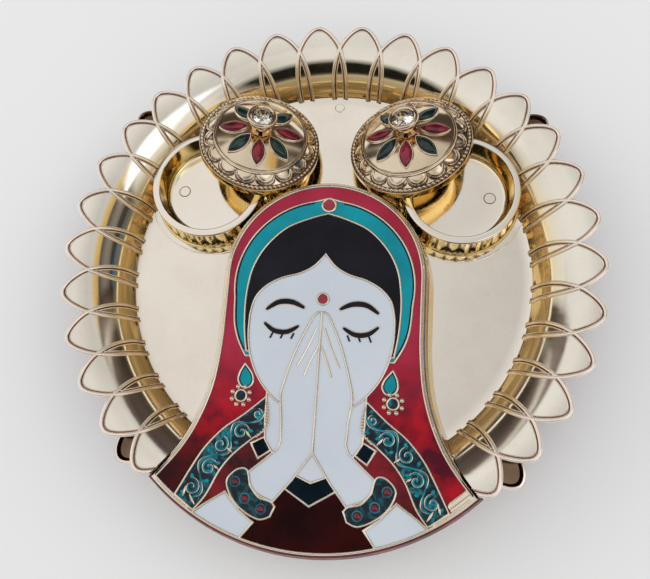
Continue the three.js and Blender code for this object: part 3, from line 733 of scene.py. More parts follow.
def build_beads():
    """A double ribbed line round each petal, with legs that cross at the valleys and end on the floor."""
    outline = panel_room(BEAD_ROOM)
    half_pitch = math.pi / PETALS
    leg = []
    for i in range(LEG_STEPS):
        radius = LEG_START + (VALLEY_RADIUS - LEG_START) * (i / LEG_STEPS) ** 1.35
        leg.append((radius, petal_side(radius)))
    for i in range(TIP_STEPS + 1):
        side = 1 - i / TIP_STEPS
        leg.append((float(petal_edge(side)), side))
    path = [(radius, -side) for radius, side in leg] + [(radius, side) for radius, side in reversed(leg[:-1])]
    parts = []
    for petal in range(PETALS):
        middle = petal * 2 * half_pitch
        points, ups = [], []
        for radius, side in path:
            angle = middle + side * half_pitch
            swing = math.acos(1 - (radius - FLOOR_RADIUS) / COVE_WIDTH)
            inward, up = RIM_RISE * math.cos(swing), COVE_WIDTH * math.sin(swing)
            size = math.hypot(inward, up)
            points.append((radius * math.cos(angle), radius * math.sin(angle), float(cove_height(radius))))
            ups.append((-inward * math.cos(angle) / size, -inward * math.sin(angle) / size, up / size))
        radius = FLOOR_RADIUS - 0.9
        for place, end in ((0, path[0]), (len(points), path[-1])):
            angle = middle + end[1] * half_pitch
            points.insert(place, (radius * math.cos(angle), radius * math.sin(angle), FLOOR_TOP - 0.2))
            ups.insert(place, (-0.5 * math.cos(angle), -0.5 * math.sin(angle), 0.87))
        parts.append(ribbon(points, 1.0, BEAD, ups))
    points, faces = joined(parts)
    hidden = within(np.asarray(points, float)[:, :2], outline)
    shown = [i for i, face in enumerate(faces) if not any(hidden[corner] for corner in face)]
    # the faces in the bead's groove get the painted shade
    slots = [1 if i % (len(BEAD) - 1) in BEAD_GROOVE else 0 for i in shown]
    faces = [faces[i] for i in shown]
    make("petal_beads", points, faces, [BEAD_GOLD, RIM_GROOVE], slots=slots, sharp=60, stands_for=["tray"])


def inside_bowl(points, spare=0.9):
    """Draws points that lie beyond the cove's skin back into the thickness of the tray."""
    points = np.asarray(points, float).copy()
    reach = np.hypot(points[:, 0], points[:, 1])
    limit = cove_radius(points[:, 2]) + spare
    share = np.minimum(1, limit / np.maximum(reach, 1e-6))
    points[:, :2] *= share[:, None]
    return points


def ring_mark(radius, base, edge, inner, segments):
    """The thin raised ring that the mould leaves on a floor."""
    return lathe(
        [(radius, base - 0.1), (radius, base + edge), (radius - 0.15, base + 0.12), (radius - 0.3, base + inner),
         (radius - 0.42, base + inner), (0.02, base + inner)], segments)


def build_cup(side, name):
    per_flute = 8
    columns = FLUTES * per_flute
    angles = np.arange(columns) * TURN / columns
    wave = np.abs(np.cos(angles * FLUTES / 2))
    rows = []
    for radius, height, depth in (
        (24.0, FLOOR_TOP - 0.5, 0), (24.0, FLOOR_TOP + 0.25, 0), (23.8, FLOOR_TOP + 0.45, 0),
        (23.3, FLOOR_TOP + 0.5, 0), (23.05, FLOOR_TOP + 0.8, 0.1), (22.95, FLOOR_TOP + 1.6, 0.55),
        (22.75, FLOOR_TOP + 5, 0.6), (22.45, FLOOR_TOP + 8.6, 0.6), (22.35, FLOOR_TOP + 9.3, 0.35),
        (22.4, FLOOR_TOP + 9.7, 0), (22.6, FLOOR_TOP + 9.95, 0), (22.62, CUP_TOP - 0.35, 0),
        (22.45, CUP_TOP - 0.08, 0), (22.15, CUP_TOP, 0), (20.5, CUP_TOP, 0), (20.1, CUP_TOP - 0.05, 0),
        (19.85, CUP_TOP - 0.3, 0), (19.6, CUP_TOP - 3.5, 0), (19.1, CUP_FLOOR + 1.6, 0),
        (18.75, CUP_FLOOR + 0.6, 0), (18.2, CUP_FLOOR + 0.15, 0), (17.3, CUP_FLOOR, 0),
        (10, CUP_FLOOR, 0), (3.0, CUP_FLOOR, 0), (0.02, CUP_FLOOR, 0),
    ):
        rows.append((radius - depth * wave, np.full(columns, height)))
    points = np.concatenate([np.stack([r * np.cos(angles), r * np.sin(angles), h], 1) for r, h in rows])
    points += np.array([side * CUP_X, CUP_Y, 0])
    outer = columns * 10
    points[:outer] = inside_bowl(points[:outer])
    parts = [(points, grid_faces(len(rows), columns))]
    slots = []
    # painted shade in the creases between the flutes, painted reflection as deeper gold on the walls, pale gold on
    # the rim and floor
    for i in range(len(parts[0][1])):
        row, column = divmod(i, columns)
        at_flute, at_wall = 4 <= row <= 8, 16 <= row <= 19
        slots.append(2 if at_flute and column % per_flute in (7, 0) else 1 if at_wall or row < 9 else 0)
    segments = 32
    mark_points, mark_faces = ring_mark(2.4, CUP_FLOOR, 0.05, 0.04, segments)
    parts.append((np.asarray(mark_points) + np.array([side * 62, 31.5, 0]), mark_faces))
    # painted shade on the ring mark's outer edge, pale gold on its top
    slots += [2] * 3 * segments + [0] * 2 * segments
    make(name, *joined(parts), [PALE_GOLD, DEEP_REFLECTION_GOLD, GROOVE], slots=slots, stands_for=["tray"])


def build_floor_marks():
    points, faces = ring_mark(2.1, FLOOR_TOP, 0.03, 0.03, 40)
    parts = [(np.asarray(points) + np.array([0, 73, 0]), faces)]
    ring = [(radius, FLOOR_TOP + rise)
            for radius, rise in ((26.6, -0.1), (26.5, 0.05), (26.2, 0.12), (25.9, 0.05), (25.8, -0.1))]
    for side in (-1, 1):
        points, faces = lathe(ring, 160)
        points = np.asarray(points) + np.array([side * CUP_X, CUP_Y, 0])
        keep = np.hypot(points[:, 0], points[:, 1]) < FLOOR_RADIUS - 0.8
        parts.append((points, [face for face in faces if all(keep[i] for i in face)]))
    make("floor_marks", *joined(parts), [GOLD], stands_for=["tray"])


# Feet


FOOT_SWEEP = 9.75
FOOT_POWER = 1.75
FOOT_STEPS = 24


def build_foot(name, turn):
    """A small petal under the rim, maroon with a gold lip round a top field painted dark with the shade and
    reflection of the maroon underside above it.
    """
    levels = []
    shape = [
        (0, 99, 6.5), (0.35, 99.4, 6.5), (1.2, 99.5, 6.5), (4, 98.4, 6.5), (7, 97.9, 6.5), (10, 98.6, 6.5),
        (12.3, 99.9, 6.5), (15, 102, 6.6), (17.2, 103.6, 6.7), (18.8, 104.1, 6.7), (19.8, 104, 6.6),
        (20.4, 103.6, 6.3), (20.5, 102.9, 5.9), (20.1, 102.4, 5.5), (19.2, 101.8, 5.2),
    ]
    for height, reach, width in shape:
        if height > FLOOR_LIFT - 0.5:
            inner = max(80.4, float(cove_radius(min(height + 1.6, RIM_TOP - 0.1))) + 1.9)
        else:
            inner = 83.5 if height < 4 else 83.5 - (height - 4) * 0.75
        for i in range(FOOT_STEPS + 1):
            side = -1 + 2 * i / FOOT_STEPS
            drop = FOOT_SWEEP * abs(side) ** FOOT_POWER
            levels.append((max(reach - drop, inner + 0.3), width * math.sin(side * math.pi / 2), height))
        levels.append((inner, 0.7 * width, height))
        levels.append((inner, -0.7 * width, height))
    count = FOOT_STEPS + 3
    faces = grid_faces(len(shape), count)
    # the top rows and the top face get the painted shade and reflection
    slots = [0 if i // count < 7 else 1 if i // count < 12 else 2 for i in range(len(faces))]
    faces += [tuple(range(count))[::-1], tuple(range(len(levels) - count, len(levels)))]
    slots += [0, 2]
    place = Matrix.Rotation(turn, 4, "Z")
    make(name.replace("foot", "leg"), levels, faces, [MAROON, LINE_GOLD, FOOT_SHADE_REFLECTION], slots=slots, place=place,
         stands_for=[name])


# Lids

LID_OFFSET = 25.7
LEAN_ANGLE = math.radians(41)
LEAN_TILT = math.radians(17)
LID_HEIGHT = 20.46
RING_RADIUS = 18.4
DOME_TOP = 10.4
DOME_RADIUS = (RING_RADIUS**2 + 4.0**2) / 8.0
DOME_CENTRE = DOME_TOP - DOME_RADIUS
SCALLOPS = 16
SCALLOP_STEPS = 40
LID_BEADS = 80
STONE_LENGTH = 10.6
STONE_WIDTH = 4.6
STONE_MIDDLE = 10.6


def dome_height(radius):
    return DOME_CENTRE + math.sqrt(DOME_RADIUS**2 - radius**2)


def lid_place(side):
    lean = Vector((-math.cos(LEAN_ANGLE), math.sin(LEAN_ANGLE)))
    middle = Vector((CUP_X, CUP_Y)) + lean * LID_OFFSET
    turn = Matrix.Rotation(LEAN_TILT, 4, Vector((-lean.y, side * lean.x, 0)))
    return Matrix.Translation((side * middle.x, middle.y, LID_HEIGHT)) @ turn


def lid_relief():
    """The rim of the lid: a smooth lip, a row of small beads, scallops with double lines and a ring."""
    columns = SCALLOPS * SCALLOP_STEPS
    angles = np.arange(columns) * TURN / columns
    radii = np.concatenate([
        [24.0, 24.0, 23.95, 23.8], np.linspace(23.6, 22.3, 9), np.linspace(22.2, 18.75, 26),
        [18.6, 18.5, 18.42, 18.35, 18.15, 17.9, 17.65, 17.45, 17.38, 17.2],
    ])
    fixed = {0: 0.05, 1: 2.6, 2: 2.88, 3: 3.02}
    rows, slots = [], []
    for i, radius in enumerate(radii):
        # dark marks the faces that get painted shade: between the beads, in the scallop lines' groove, outside the
        # outer line and beside the ring
        dark = np.zeros(columns, bool)
        if i in fixed:
            height = np.full(columns, fixed[i])
        elif radius > 22.25:
            base = 3.0 + (23.6 - radius) * 0.5
            step = (angles * LID_BEADS / TURN) % 1 - 0.5
            across = step * TURN * 23.0 / LID_BEADS / 0.72
            along = (radius - 22.95) / 0.62
            height = base - 0.12 + 0.62 * np.sqrt(np.clip(1 - across**2 - along**2, 0, 1))
            dark = across**2 + along**2 > 1
        elif radius > 18.7:
            base = 3.75 + (22.25 - radius) * 0.6
            step = ((angles * SCALLOPS / TURN) % 1 - 0.5) * 2
            edge = 18.9 + 3.15 * np.sqrt(np.clip(1 - np.abs(step) ** 2.2, 0, 1))
            slope = 1 + 1.2 * step**2
            away = (edge - radius) / slope
            ridge = 0.42 * np.exp(-((away - 0.18) / 0.2) ** 2) + 0.3 * np.exp(-((away - 0.8) / 0.16) ** 2)
            pillow = 0.32 * np.clip((away - 0.95) / 1.1, 0, 1) ** 0.6
            height = base - 0.1 + ridge + pillow
            dark = ((away > 0.42) & (away < 0.66)) | ((away > -0.5) & (away < -0.05)) | (radius < 18.95)
        else:
            ring = {18.6: 6.1, 18.5: 6.3, 18.42: 6.62, 18.35: 6.8, 18.15: 6.93, 17.9: 6.97, 17.65: 6.93,
                    17.45: 6.8, 17.38: 6.72, 17.2: dome_height(17.2)}
            height = np.full(columns, ring[round(float(radius), 2)])
        rows.append(np.stack([radius * np.cos(angles), radius * np.sin(angles), height], 1))
        slots.extend(dark.astype(int).tolist())
    return np.concatenate(rows), grid_faces(len(rows), columns), slots[:-columns]


def lid_shell():
    dome = [(17.2, dome_height(17.2))]
    dome += [(r, dome_height(r)) for r in (16, 14, 12, 10, 8, 6, 4.6)] + [(4.2, dome_height(4.2))]
    dome += [(1.7, dome_height(4.2)), (1.7, dome_height(4.2) - 1.5)]
    inside = [(24.0, 0.05), (23.9, 0.0), (19.4, 0.0), (19.35, -0.5), (19.2, -2.2), (18.0, -2.2),
              (18.0, dome_height(18) - 2.3)]
    inside += [(r, dome_height(r) - 1.6) for r in (16, 12, 8, 4.2)] + [(1.7, dome_height(4.2) - 1.5)]
    points, faces = lathe(inside, 128)
    return lathe(dome, 128), (points, [face[::-1] for face in faces])


def marquise(length, width, steps):
    half, bulge = length / 2, width / 2
    radius = (half * half + bulge * bulge) / (2 * bulge)
    swing = math.degrees(math.asin(half / radius))
    right = arc(bulge - radius, 0, radius, -swing, swing, steps)
    left = arc(radius - bulge, 0, radius, 180 - swing, 180 + swing, steps)
    return right[:-1] + left[:-1]


def on_dome(points, index):
    """Moves points drawn round the Z axis to a stone's place on the dome."""
    slope = math.asin(STONE_MIDDLE / DOME_RADIUS)
    place = (
        Matrix.Rotation(index / 8 * TURN, 4, "Z")
        @ Matrix.Translation((0, STONE_MIDDLE, dome_height(STONE_MIDDLE)))
        @ Matrix.Rotation(-slope, 4, "X")
    )
    turn = np.array(place.to_3x3(), float)
    return np.asarray(points, float) @ turn.T + np.array(place.translation, float)


def rings_of(rings, closed_top=True):
    count = len(rings[0])
    points = [p for ring in rings for p in ring]
    faces = grid_faces(len(rings), count)
    if closed_top:
        faces.append(tuple(range((len(rings) - 1) * count, len(rings) * count)))
    return points, faces


def stone_shape(index):
    rings = []
    for share, height in ((1, -0.6), (1, 0.2), (0.985, 0.55), (0.94, 0.9), (0.84, 1.22), (0.68, 1.46),
                          (0.46, 1.62), (0.2, 1.69)):
        rings.append([(x * share, y * share, height) for x, y in marquise(STONE_LENGTH, STONE_WIDTH, 20)])
    points, faces = rings_of(rings)
    return on_dome(points, index), faces


def bezel_shape(index):
    rings = []
    for grow, height in ((0.75, -0.5), (0.68, 0.12), (0.58, 0.5), (0.38, 0.68), (0.18, 0.66), (0.04, 0.45),
                         (0.02, -0.2)):
        rings.append([(x, y, height) for x, y in marquise(STONE_LENGTH + 2 * grow, STONE_WIDTH + 2 * grow, 20)])
    points, faces = rings_of(rings, False)
    return on_dome(points, index), faces


def knob_parts():
    seat = dome_height(4.2) + 0.15
    stem_top = seat + 4.2
    top = stem_top + 3.6
    stem = [(1.5, seat - 1.5), (1.5, seat), (4.2, seat + 0.02), (4.1, seat + 0.45), (3.5, seat + 1.0),
            (2.9, seat + 1.8), (2.6, seat + 2.6), (2.75, stem_top - 0.6), (3.4, stem_top + 0.3),
            (4.9, stem_top + 0.9)]
    cup = [(4.7, stem_top + 0.8), (5.3, stem_top + 1.15), (5.7, stem_top + 1.8), (5.8, stem_top + 2.5),
           (5.72, top - 0.7), (5.5, top - 0.25), (5.15, top - 0.02), (4.7, top - 0.02), (4.35, top - 0.25),
           (4.12, top - 0.35), (4.05, top - 0.9), (2.4, top - 2.2), (0.6, top - 3.2), (0.02, top - 3.2)]
    return lathe(stem, 14), lathe(cup, 64), top - 0.5


def crystal_shape(girdle):
    """A brilliant cut: a table, eight kites, sixteen halves, a thin girdle and a pavilion."""
    count = 16
    step = TURN / count

    def ring(radius, height, number, phase):
        angles = [i * TURN / number + phase for i in range(number)]
        return [(radius * math.cos(angle), radius * math.sin(angle), height) for angle in angles]

    table = ring(2.1, girdle + 1.2, 8, step)
    kite = ring(3.05, girdle + 0.72, 8, 0)
    upper = ring(3.9, girdle + 0.12, count, 0)
    lower = ring(3.9, girdle - 0.05, count, 0)
    pavilion = ring(1.5, girdle - 1.55, 8, step)
    tip = [(0, 0, girdle - 2.4)]
    points = table + kite + upper + lower + pavilion + tip
    t, k, u, l, p, c = 0, 8, 16, 32, 48, 56
    faces = [tuple(range(t, t + 8))]
    for i in range(8):
        nxt = (i + 1) % 8
        prev = (i - 1) % 8
        faces.append((t + prev, k + i, t + i))
        faces.append((k + i, u + (2 * i - 1) % 16, u + 2 * i))
        faces.append((k + i, u + 2 * i, u + (2 * i + 1) % 16))
        faces.append((t + i, k + i, u + (2 * i + 1) % 16, k + nxt))
        faces.append((p + i, l + (2 * i + 1) % 16, l + 2 * i))
        faces.append((p + i, l + (2 * i + 2) % 16, l + (2 * i + 1) % 16))
        faces.append((p + i, l + 2 * i, p + prev))
        faces.append((c, p + i, p + prev))
    for i in range(16):
        nxt = (i + 1) % 16
        faces.append((u + i, l + i, l + nxt, u + nxt))
    return points, faces


def build_lid(side, side_name):
    body = f"lid_{side_name}"
    place = lid_place(side)
    relief_points, relief_faces, slots = lid_relief()
    dome, under = lid_shell()
    points, faces = joined([(relief_points, relief_faces), dome, under])
    # the lid's lip and underside take the deeper gold of the painted reflection, the relief's grooves the painted
    # shade
    lip = 2 * SCALLOP_STEPS * SCALLOPS
    slots[:lip] = [2] * lip
    slots += [0] * len(dome[1]) + [2] * len(under[1])
    make(f"{body}_shell", points, faces, [LID_GOLD, GROOVE, DEEP_REFLECTION_GOLD], body, slots, place, 50, [body])
    bezels = joined([bezel_shape(i) for i in range(8)])
    make(f"{body}_bezels", *bezels, [LINE_GOLD], body, place=place, stands_for=[body])
    for i in range(8):
        material = GREEN_STONE if i % 2 else RED_STONE
        node = f"stone_{side_name}_{i + 1}"
        make(f"cut_{node}", *stone_shape(i), [material], body, place=place, sharp=60, stands_for=[node])
    stem, cup, girdle = knob_parts()
    knob = [f"knob_{side_name}"]
    make(f"knob_stem_{side_name}", *stem, [STEM_GOLD], body, place=place, sharp=12, stands_for=knob)
    make(f"knob_cup_{side_name}", *cup, [LID_GOLD], body, place=place, sharp=50, stands_for=knob)
    node = f"crystal_{side_name}"
    make(f"cut_{node}", *crystal_shape(girdle), [CRYSTAL], body, place=place, sharp=2, stands_for=[node])


# Figure panel


def surface_height(points, shapes, lines):
    """Height of the panel's face: gold lines stand up a little and the enamel sinks between them."""
    half = GOLD_LINE / 2
    height = np.full(len(points), 0.0)
    covered = np.zeros(len(points), bool)
    for (names, outline, material), (outer, inner) in reversed(list(zip(shapes, lines))):
        gap = gap_to(points, outline)
        near = within(points, grown(outline, half + 0.02)) & ~covered
        ridge = 0.34 * np.sqrt(np.clip(1 - (gap / (half + 0.05)) ** 2, 0, 1))
        height = np.where(near & (gap < half + 0.05), np.maximum(height, ridge), height)
        pool = within(points, inner) & ~covered
        covered |= pool
    return height


def build_panel_face():
    shapes = motifs()
    half = GOLD_LINE / 2
    border = np.asarray(panel_outline(), float)
    lines = [(grown(outline, half), grown(outline, -half)) for names, outline, material in shapes]
    vertices, edges = [], []

    def add_loop(loop):
        start = len(vertices)
        count = len(loop)
        vertices.extend([Vector((float(x), float(y))) for x, y in loop])
        edges.extend([(start + i, start + (i + 1) % count) for i in range(count)])

    add_loop(border)
    for (names, outline, material), (outer, inner) in zip(shapes, lines):
        for loop in (outer, grown(outline, half * 0.55), outline, grown(outline, -half * 0.55), inner):
            add_loop(loop)
        add_loop(grown(outline, -half - 0.35))
    step = 3.1
    for row in range(-36, 12):
        for column in range(-19, 20):
            x, y = (column + (row % 2) / 2) * step, row * step * 0.87
            vertices.append(Vector((x, y)))
    made = delaunay_2d_cdt(vertices, edges, [], 0, 1e-4, False)
    flat = np.array([(v.x, v.y) for v in made[0]])
    triangles = np.array([face for face in made[2] if len(face) == 3])
    corners = flat[triangles]
    first, second = corners[:, 1] - corners[:, 0], corners[:, 2] - corners[:, 0]
    size = first[:, 0] * second[:, 1] - first[:, 1] * second[:, 0]
    triangles[size < 0] = triangles[size < 0][:, ::-1]
    triangles = triangles[np.abs(size) > 1e-7]
    middles = flat[triangles].mean(1)
    inside = within(middles, border)
    triangles, middles = triangles[inside], middles[inside]
    owner = np.full(len(triangles), -1)
    taken = np.zeros(len(triangles), bool)
    for index in reversed(range(len(shapes))):
        outer, inner = lines[index]
        pool = within(middles, inner) & ~taken
        rim = within(middles, outer) & ~pool & ~taken
        owner[pool] = index
        taken |= pool | rim
    return shapes, lines, flat, triangles, owner


def pools_of(triangles, chosen, wanted, flat):
    """Splits the chosen triangles into bodies that hang together and gives the largest, from left to right."""
    ids = np.flatnonzero(chosen)
    parent = {int(i): int(i) for i in ids}

    def root(i):
        while parent[i] != i:
            parent[i] = parent[parent[i]]
            i = parent[i]
        return i

    seen = {}
    for i in ids:
        a, b, c = (int(v) for v in triangles[i])
        for pair in ((a, b), (b, c), (c, a)):
            key = (min(pair), max(pair))
            if key in seen:
                parent[root(int(i))] = root(seen[key])
            else:
                seen[key] = int(i)
    groups = {}
    for i in ids:
        groups.setdefault(root(int(i)), []).append(int(i))

    def weight(group):
        corners = flat[triangles[group]]
        first, second = corners[:, 1] - corners[:, 0], corners[:, 2] - corners[:, 0]
        return float(np.abs(first[:, 0] * second[:, 1] - first[:, 1] * second[:, 0]).sum())

    best = sorted(groups.values(), key=weight, reverse=True)[:wanted]
    return sorted(best, key=lambda group: float(flat[triangles[group]].mean((0, 1))[0]))


def face_piece(name, flat, heights, normals, triangles, material, stands_for):
    used, places = np.unique(triangles, return_inverse=True)
    places = places.reshape(-1, 3)
    points = np.column_stack([flat[used], PANEL_TOP + heights[used]])
    piece = make(name, points, places, [material], sharp=180, stands_for=stands_for)
    if normals is not None:
        piece.data.normals_split_custom_set_from_vertices([tuple(n) for n in normals[used]])


def build_panel():
    shapes, lines, flat, triangles, owner = build_panel_face()
    heights = surface_height(flat, shapes, lines)
    nudge = 0.03
    across = surface_height(flat + [nudge, 0], shapes, lines) - surface_height(flat - [nudge, 0], shapes, lines)
    along = surface_height(flat + [0, nudge], shapes, lines) - surface_height(flat - [0, nudge], shapes, lines)
    slope = np.clip(np.stack([across, along], 1) / (2 * nudge), -1.2, 1.2)
    normals = np.column_stack([-slope, np.ones(len(flat))])
    normals /= np.linalg.norm(normals, axis=1)[:, None]
    gold = owner < 0
    level = np.zeros(len(flat))
    for index, (names, outline, material) in enumerate(shapes):
        groups = pools_of(triangles, owner == index, len(names), flat)
        kept = np.zeros(len(triangles), bool)
        for name, group in zip(names, groups):
            shade = SLEEVE if "sleeve" in name else material
            face_piece(f"{name}_pool", flat, level, None, triangles[group], shade, [name])
            kept[group] = True
        gold |= (owner == index) & ~kept
    face_piece("panel_gold", flat, heights, normals, triangles[gold], LINE_GOLD, ["figure_panel"])
    build_panel_sides()


def build_panel_sides():
    outline = panel_outline()
    count = len(outline)
    levels = [(0.0, PANEL_TOP), (0.1, PANEL_TOP - 0.05), (0.28, PANEL_TOP - 0.25), (0.4, PANEL_TOP - 0.6),
              (0.9, PANEL_TOP - 0.85), (1.05, PANEL_TOP - 1.0), (1.15, PANEL_TOP - 1.35), (2.0, SKIRT_BASE + 0.25),
              (2.1, SKIRT_BASE)]
    rings = [np.column_stack([grown(outline, d), np.full(count, h)]) for d, h in levels]
    for share in (0.03, 0.25, 0.5, 0.75, 0.97, 1.0):
        height = SKIRT_BASE - share * (SKIRT_BASE - FLOOR_TOP - 0.05)
        ring = np.column_stack([grown(outline, 2.1 + 2.5 * share), np.full(count, height)])
        rings.append(inside_bowl(ring, -0.3))
    faces = [face[::-1] for face in grid_faces(len(rings), count)]
    points = np.concatenate(rings)
    slots = []
    for face in faces:
        x, y, z = points[list(face)].mean(0)
        at_hem = math.hypot(x, y - HEM_Y) > HEM_RADIUS - 0.5 and y < -70
        slots.append(1 if at_hem and z < PANEL_TOP - 0.2 else 0)
    make("panel_sides", points, faces, [LINE_GOLD, MAROON], slots=slots, sharp=30, stands_for=["figure_panel"])


def raised_line(line, height=0.0):
    return [(x, y, PANEL_TOP + height) for x, y in line]


def stroke_edge(line, widths):
    """The closed outline round a stroke of changing width."""
    path = np.asarray(line, float)
    run = np.gradient(path, axis=0)
    run /= np.linalg.norm(run, axis=1)[:, None]
    across = np.column_stack([-run[:, 1], run[:, 0]]) * (np.asarray(widths, float) / 2)[:, None]
    ends = run * (np.asarray(widths, float) / 2)[:, None]
    near, far = path + across, path - across
    return [tuple(p) for p in [*near, path[-1] + ends[-1], *far[::-1], path[0] - ends[0]]]


def build_face_lines():
    """The brows, the closed eyes and the lines of the fingers."""
    dark, gold = [], []
    for side in (-1, 1):
        brow = catmull([(side * 6.4, -19.8), (side * 11, -17.8), (side * 16, -18.0), (side * 20.4, -20.9)], 8)
        lid = catmull([(side * 8.0, -26.6), (side * 12.2, -28.9), (side * 16.8, -28.6), (side * 20.6, -25.9)], 8)
        shares = np.linspace(0, 1, len(brow))
        swell = 0.7 + 1.2 * np.sin(np.pi * shares) ** 0.7
        for line, size in ((brow, 1.0), (lid, 0.9)):
            dark.append(ribbon(raised_line(line, 0.1), swell * size + 0.2, FLAT))
            edge = stroke_edge(line, swell * size + 0.3)
            gold.append(ribbon(raised_line(edge, 0.04), 0.32, ROUND, closed=True))
        for start in (9.6, 13.4, 17.2):
            lash = [(side * start, -29.3), (side * (start + 0.9), -31.4)]
            dark.append(ribbon(raised_line(catmull(lash, 4), 0.05), 0.66, ROUND))
        for line in (
            [(1.4, -27), (4.6, -35), (7.5, -41)],
            [(0.5, -33.5), (3, -39), (4.8, -44.3)],
        ):
            path = catmull([(side * x, y) for x, y in line], 8)
            gold.append(ribbon(raised_line(path, 0.0), 0.66, ROUND))
    for name, parts, material in (("brows_and_lashes", dark, BROW_AND_SHADOW), ("finger_lines", gold, LINE_GOLD)):
        make(name, *joined(parts), [material])


def build_band_lines():
    """Painted shadow: dark lines just inside the gold lines along the edges of the headband and the earring drops,
    where the raised lines shade the enamel.
    """
    parts = []
    for names, outline, material in motifs():
        if names[0] not in ("enamel_headband", "earring_drop_left", "earring_drop_right"):
            continue
        path = [(x, y) for x, y in grown(outline, -GOLD_LINE / 2 - 0.14)]
        if names[0] != "enamel_headband":
            parts.append(ribbon(raised_line(path, 0.02), 0.5, FLAT, closed=True))
            continue
        for side in (-1, 1):
            run = [(x, y) for x, y in path if 3.2 < side * x and y > -37]
            run.sort(key=lambda spot: side * math.atan2(spot[0], spot[1] + 14))
            parts.append(ribbon(raised_line(run, 0.03), 0.8, FLAT))
    make("band_shadow_lines", *joined(parts), [BROW_AND_SHADOW])


def build_jewels():
    """The gems of the bangles and the gold balls round the earrings."""
    gems, rims, balls = [], [], []
    balls.append(ribbon(raised_line(arc(0, 20.8, 2.65, 0, 350, 35)), 0.8, ROUND, closed=True))
    for side in (-1, 1):
        for x, y in ((25.5, -81.2), (21.7, -86.3), (16, -89.3)):
            gems.append(ball((side * x, y, PANEL_TOP), 1.35, 0.6, 5, 20))
            rims.append(ribbon(raised_line(arc(side * x, y, 1.6, 0, 345, 23), 0.0), 0.42, ROUND, closed=True))
        for i in range(8):
            angle = i / 8 * TURN + 0.39
            centre = (side * 26.5 + 3.3 * math.cos(angle), -52.4 + 3.3 * math.sin(angle), PANEL_TOP)
            balls.append(ball(centre, 0.9, 0.8, 4, 16))
    make("bangle_gems", *joined(gems), [DARK_RUBY])
    make("bangle_gem_rims", *joined(rims), [LEAF])
    make("jewel_settings", *joined(balls), [LINE_GOLD])


def border_middle(share):
    path = np.array(catmull(
        [(17.4, -56.2), (22.8, -61.6), (28.5, -66.8), (33.6, -73.2), (37.6, -80.5), (41, -87)], 12))
    place = share * (len(path) - 1)
    low = min(int(place), len(path) - 2)
    point = path[low] + (path[low + 1] - path[low]) * (place - low)
    run = path[low + 1] - path[low]
    run /= np.linalg.norm(run)
    return point, run


def border_spot(share, offset):
    """A point on the border, so far along it and so far to the side of its middle line."""
    middle, run = border_middle(min(max(share, 0.0), 1.0))
    return middle + np.array([run[1], -run[0]]) * offset


def build_scrolls():
    """A winding stem along each border with a curl in each bend, in gold and teal lines."""
    teal, gold, leaves = [], [], []
    bends = 5
    for side in (-1, 1):
        def laid(points, lift=0.02):
            return [(side * x, y, PANEL_TOP + lift) for x, y in points]

        shares = np.linspace(0.03, 0.97, 90)
        reach = 1.4 + 1.9 * np.clip(shares / 0.35, 0, 1)
        stem = [border_spot(s, r * math.sin(math.pi * bends * s)) for s, r in zip(shares, reach)]
        gold.append(ribbon(laid(stem), 0.34, ROUND))
        beside = [border_spot(s, (r - 0.65) * math.sin(math.pi * bends * s)) for s, r in zip(shares, reach)]
        teal.append(ribbon(laid(beside), 0.6, ROUND))
        for bend in range(bends):
            share = (bend + 0.5) / bends
            middle, run = border_middle(share)
            out = np.array([run[1], -run[0]]) * (-1 if bend % 2 else 1)
            size = 1.6 if bend == 0 else 2.8
            middle = middle - out * (0.8 if bend else 0.2)
            curl, edge = [], []
            for step in range(40):
                along = step / 39
                swing = 0.4 + along * 3.1 * math.pi
                radius = 0.2 + size * along
                direction = math.cos(swing) * run + math.sin(swing) * out
                curl.append(middle + (radius - 0.3) * direction)
                edge.append(middle + (radius + 0.12) * direction)
            swell = 0.25 + 0.5 * np.sin(np.pi * np.linspace(0.1, 1, 40))
            teal.append(ribbon(laid(curl, 0.0), swell, ROUND))
            gold.append(ribbon(laid(edge[6:], 0.04), 0.3, ROUND))
            if bend:
                for turn in (-0.42, 0.42):
                    place = share + turn / bends
                    tip = border_spot(place, (4.0 if bend % 2 else -4.0) * 0.85)
                    root = border_spot(place + 0.02, 1.9 if bend % 2 else -1.9)
                    leaf = [root + (tip - root) * t for t in np.linspace(0, 1, 9)]
                    width = 0.15 + 1.15 * np.sin(np.pi * np.linspace(0.02, 0.98, 9))
                    leaves.append(ribbon(laid(leaf, 0.0), width, ROUND))
    for name, parts, material in (
        ("border_curls", teal, LEAF), ("curl_edges", gold, LINE_GOLD), ("border_leaves", leaves, TEAL)):
        make(name, *joined(parts), [material])


def build_strip():
    """The bumpy strips between the borders and the neck, gold leaves and the lines in the squares."""
    parts, inner = [], []
    for side in (-1, 1):
        path = catmull([(17.0, -54.6), (16.3, -58.5), (16.6, -62.6), (19.6, -65.9)], 8)
        for i in range(0, len(path), 2):
            x, y = path[i]
            parts.append(ball((side * x, y, PANEL_TOP), 0.62, 0.62, 4, 12))
        square = [(20.4, -68.5), (17.2, -67.0), (15.3, -70.2), (18.4, -72.2)]
        inner.append(ribbon([(side * x, y, PANEL_TOP) for x, y in square], 0.24, ROUND, closed=True))
        for root, tip in (
            ((21.6, -66.6), (23.6, -64.0)), ((27.4, -72.0), (29.6, -70.0)), ((31.6, -77.8), (33.4, -76.2)),
            ((38.6, -89.4), (40.6, -86.2)), ((42.8, -87.0), (42.2, -83.6)),
        ):
            steps = np.linspace(0, 1, 8)
            leaf = [(side * (root[0] + (tip[0] - root[0]) * t), root[1] + (tip[1] - root[1]) * t) for t in steps]
            parts.append(ribbon(raised_line(leaf, 0.05), 0.2 + 0.8 * np.sin(np.pi * (0.1 + 0.85 * steps)), ROUND))
    make("gold_beadwork", *joined(parts), [LINE_GOLD])
    make("square_lines", *joined(inner), [BANGLE])


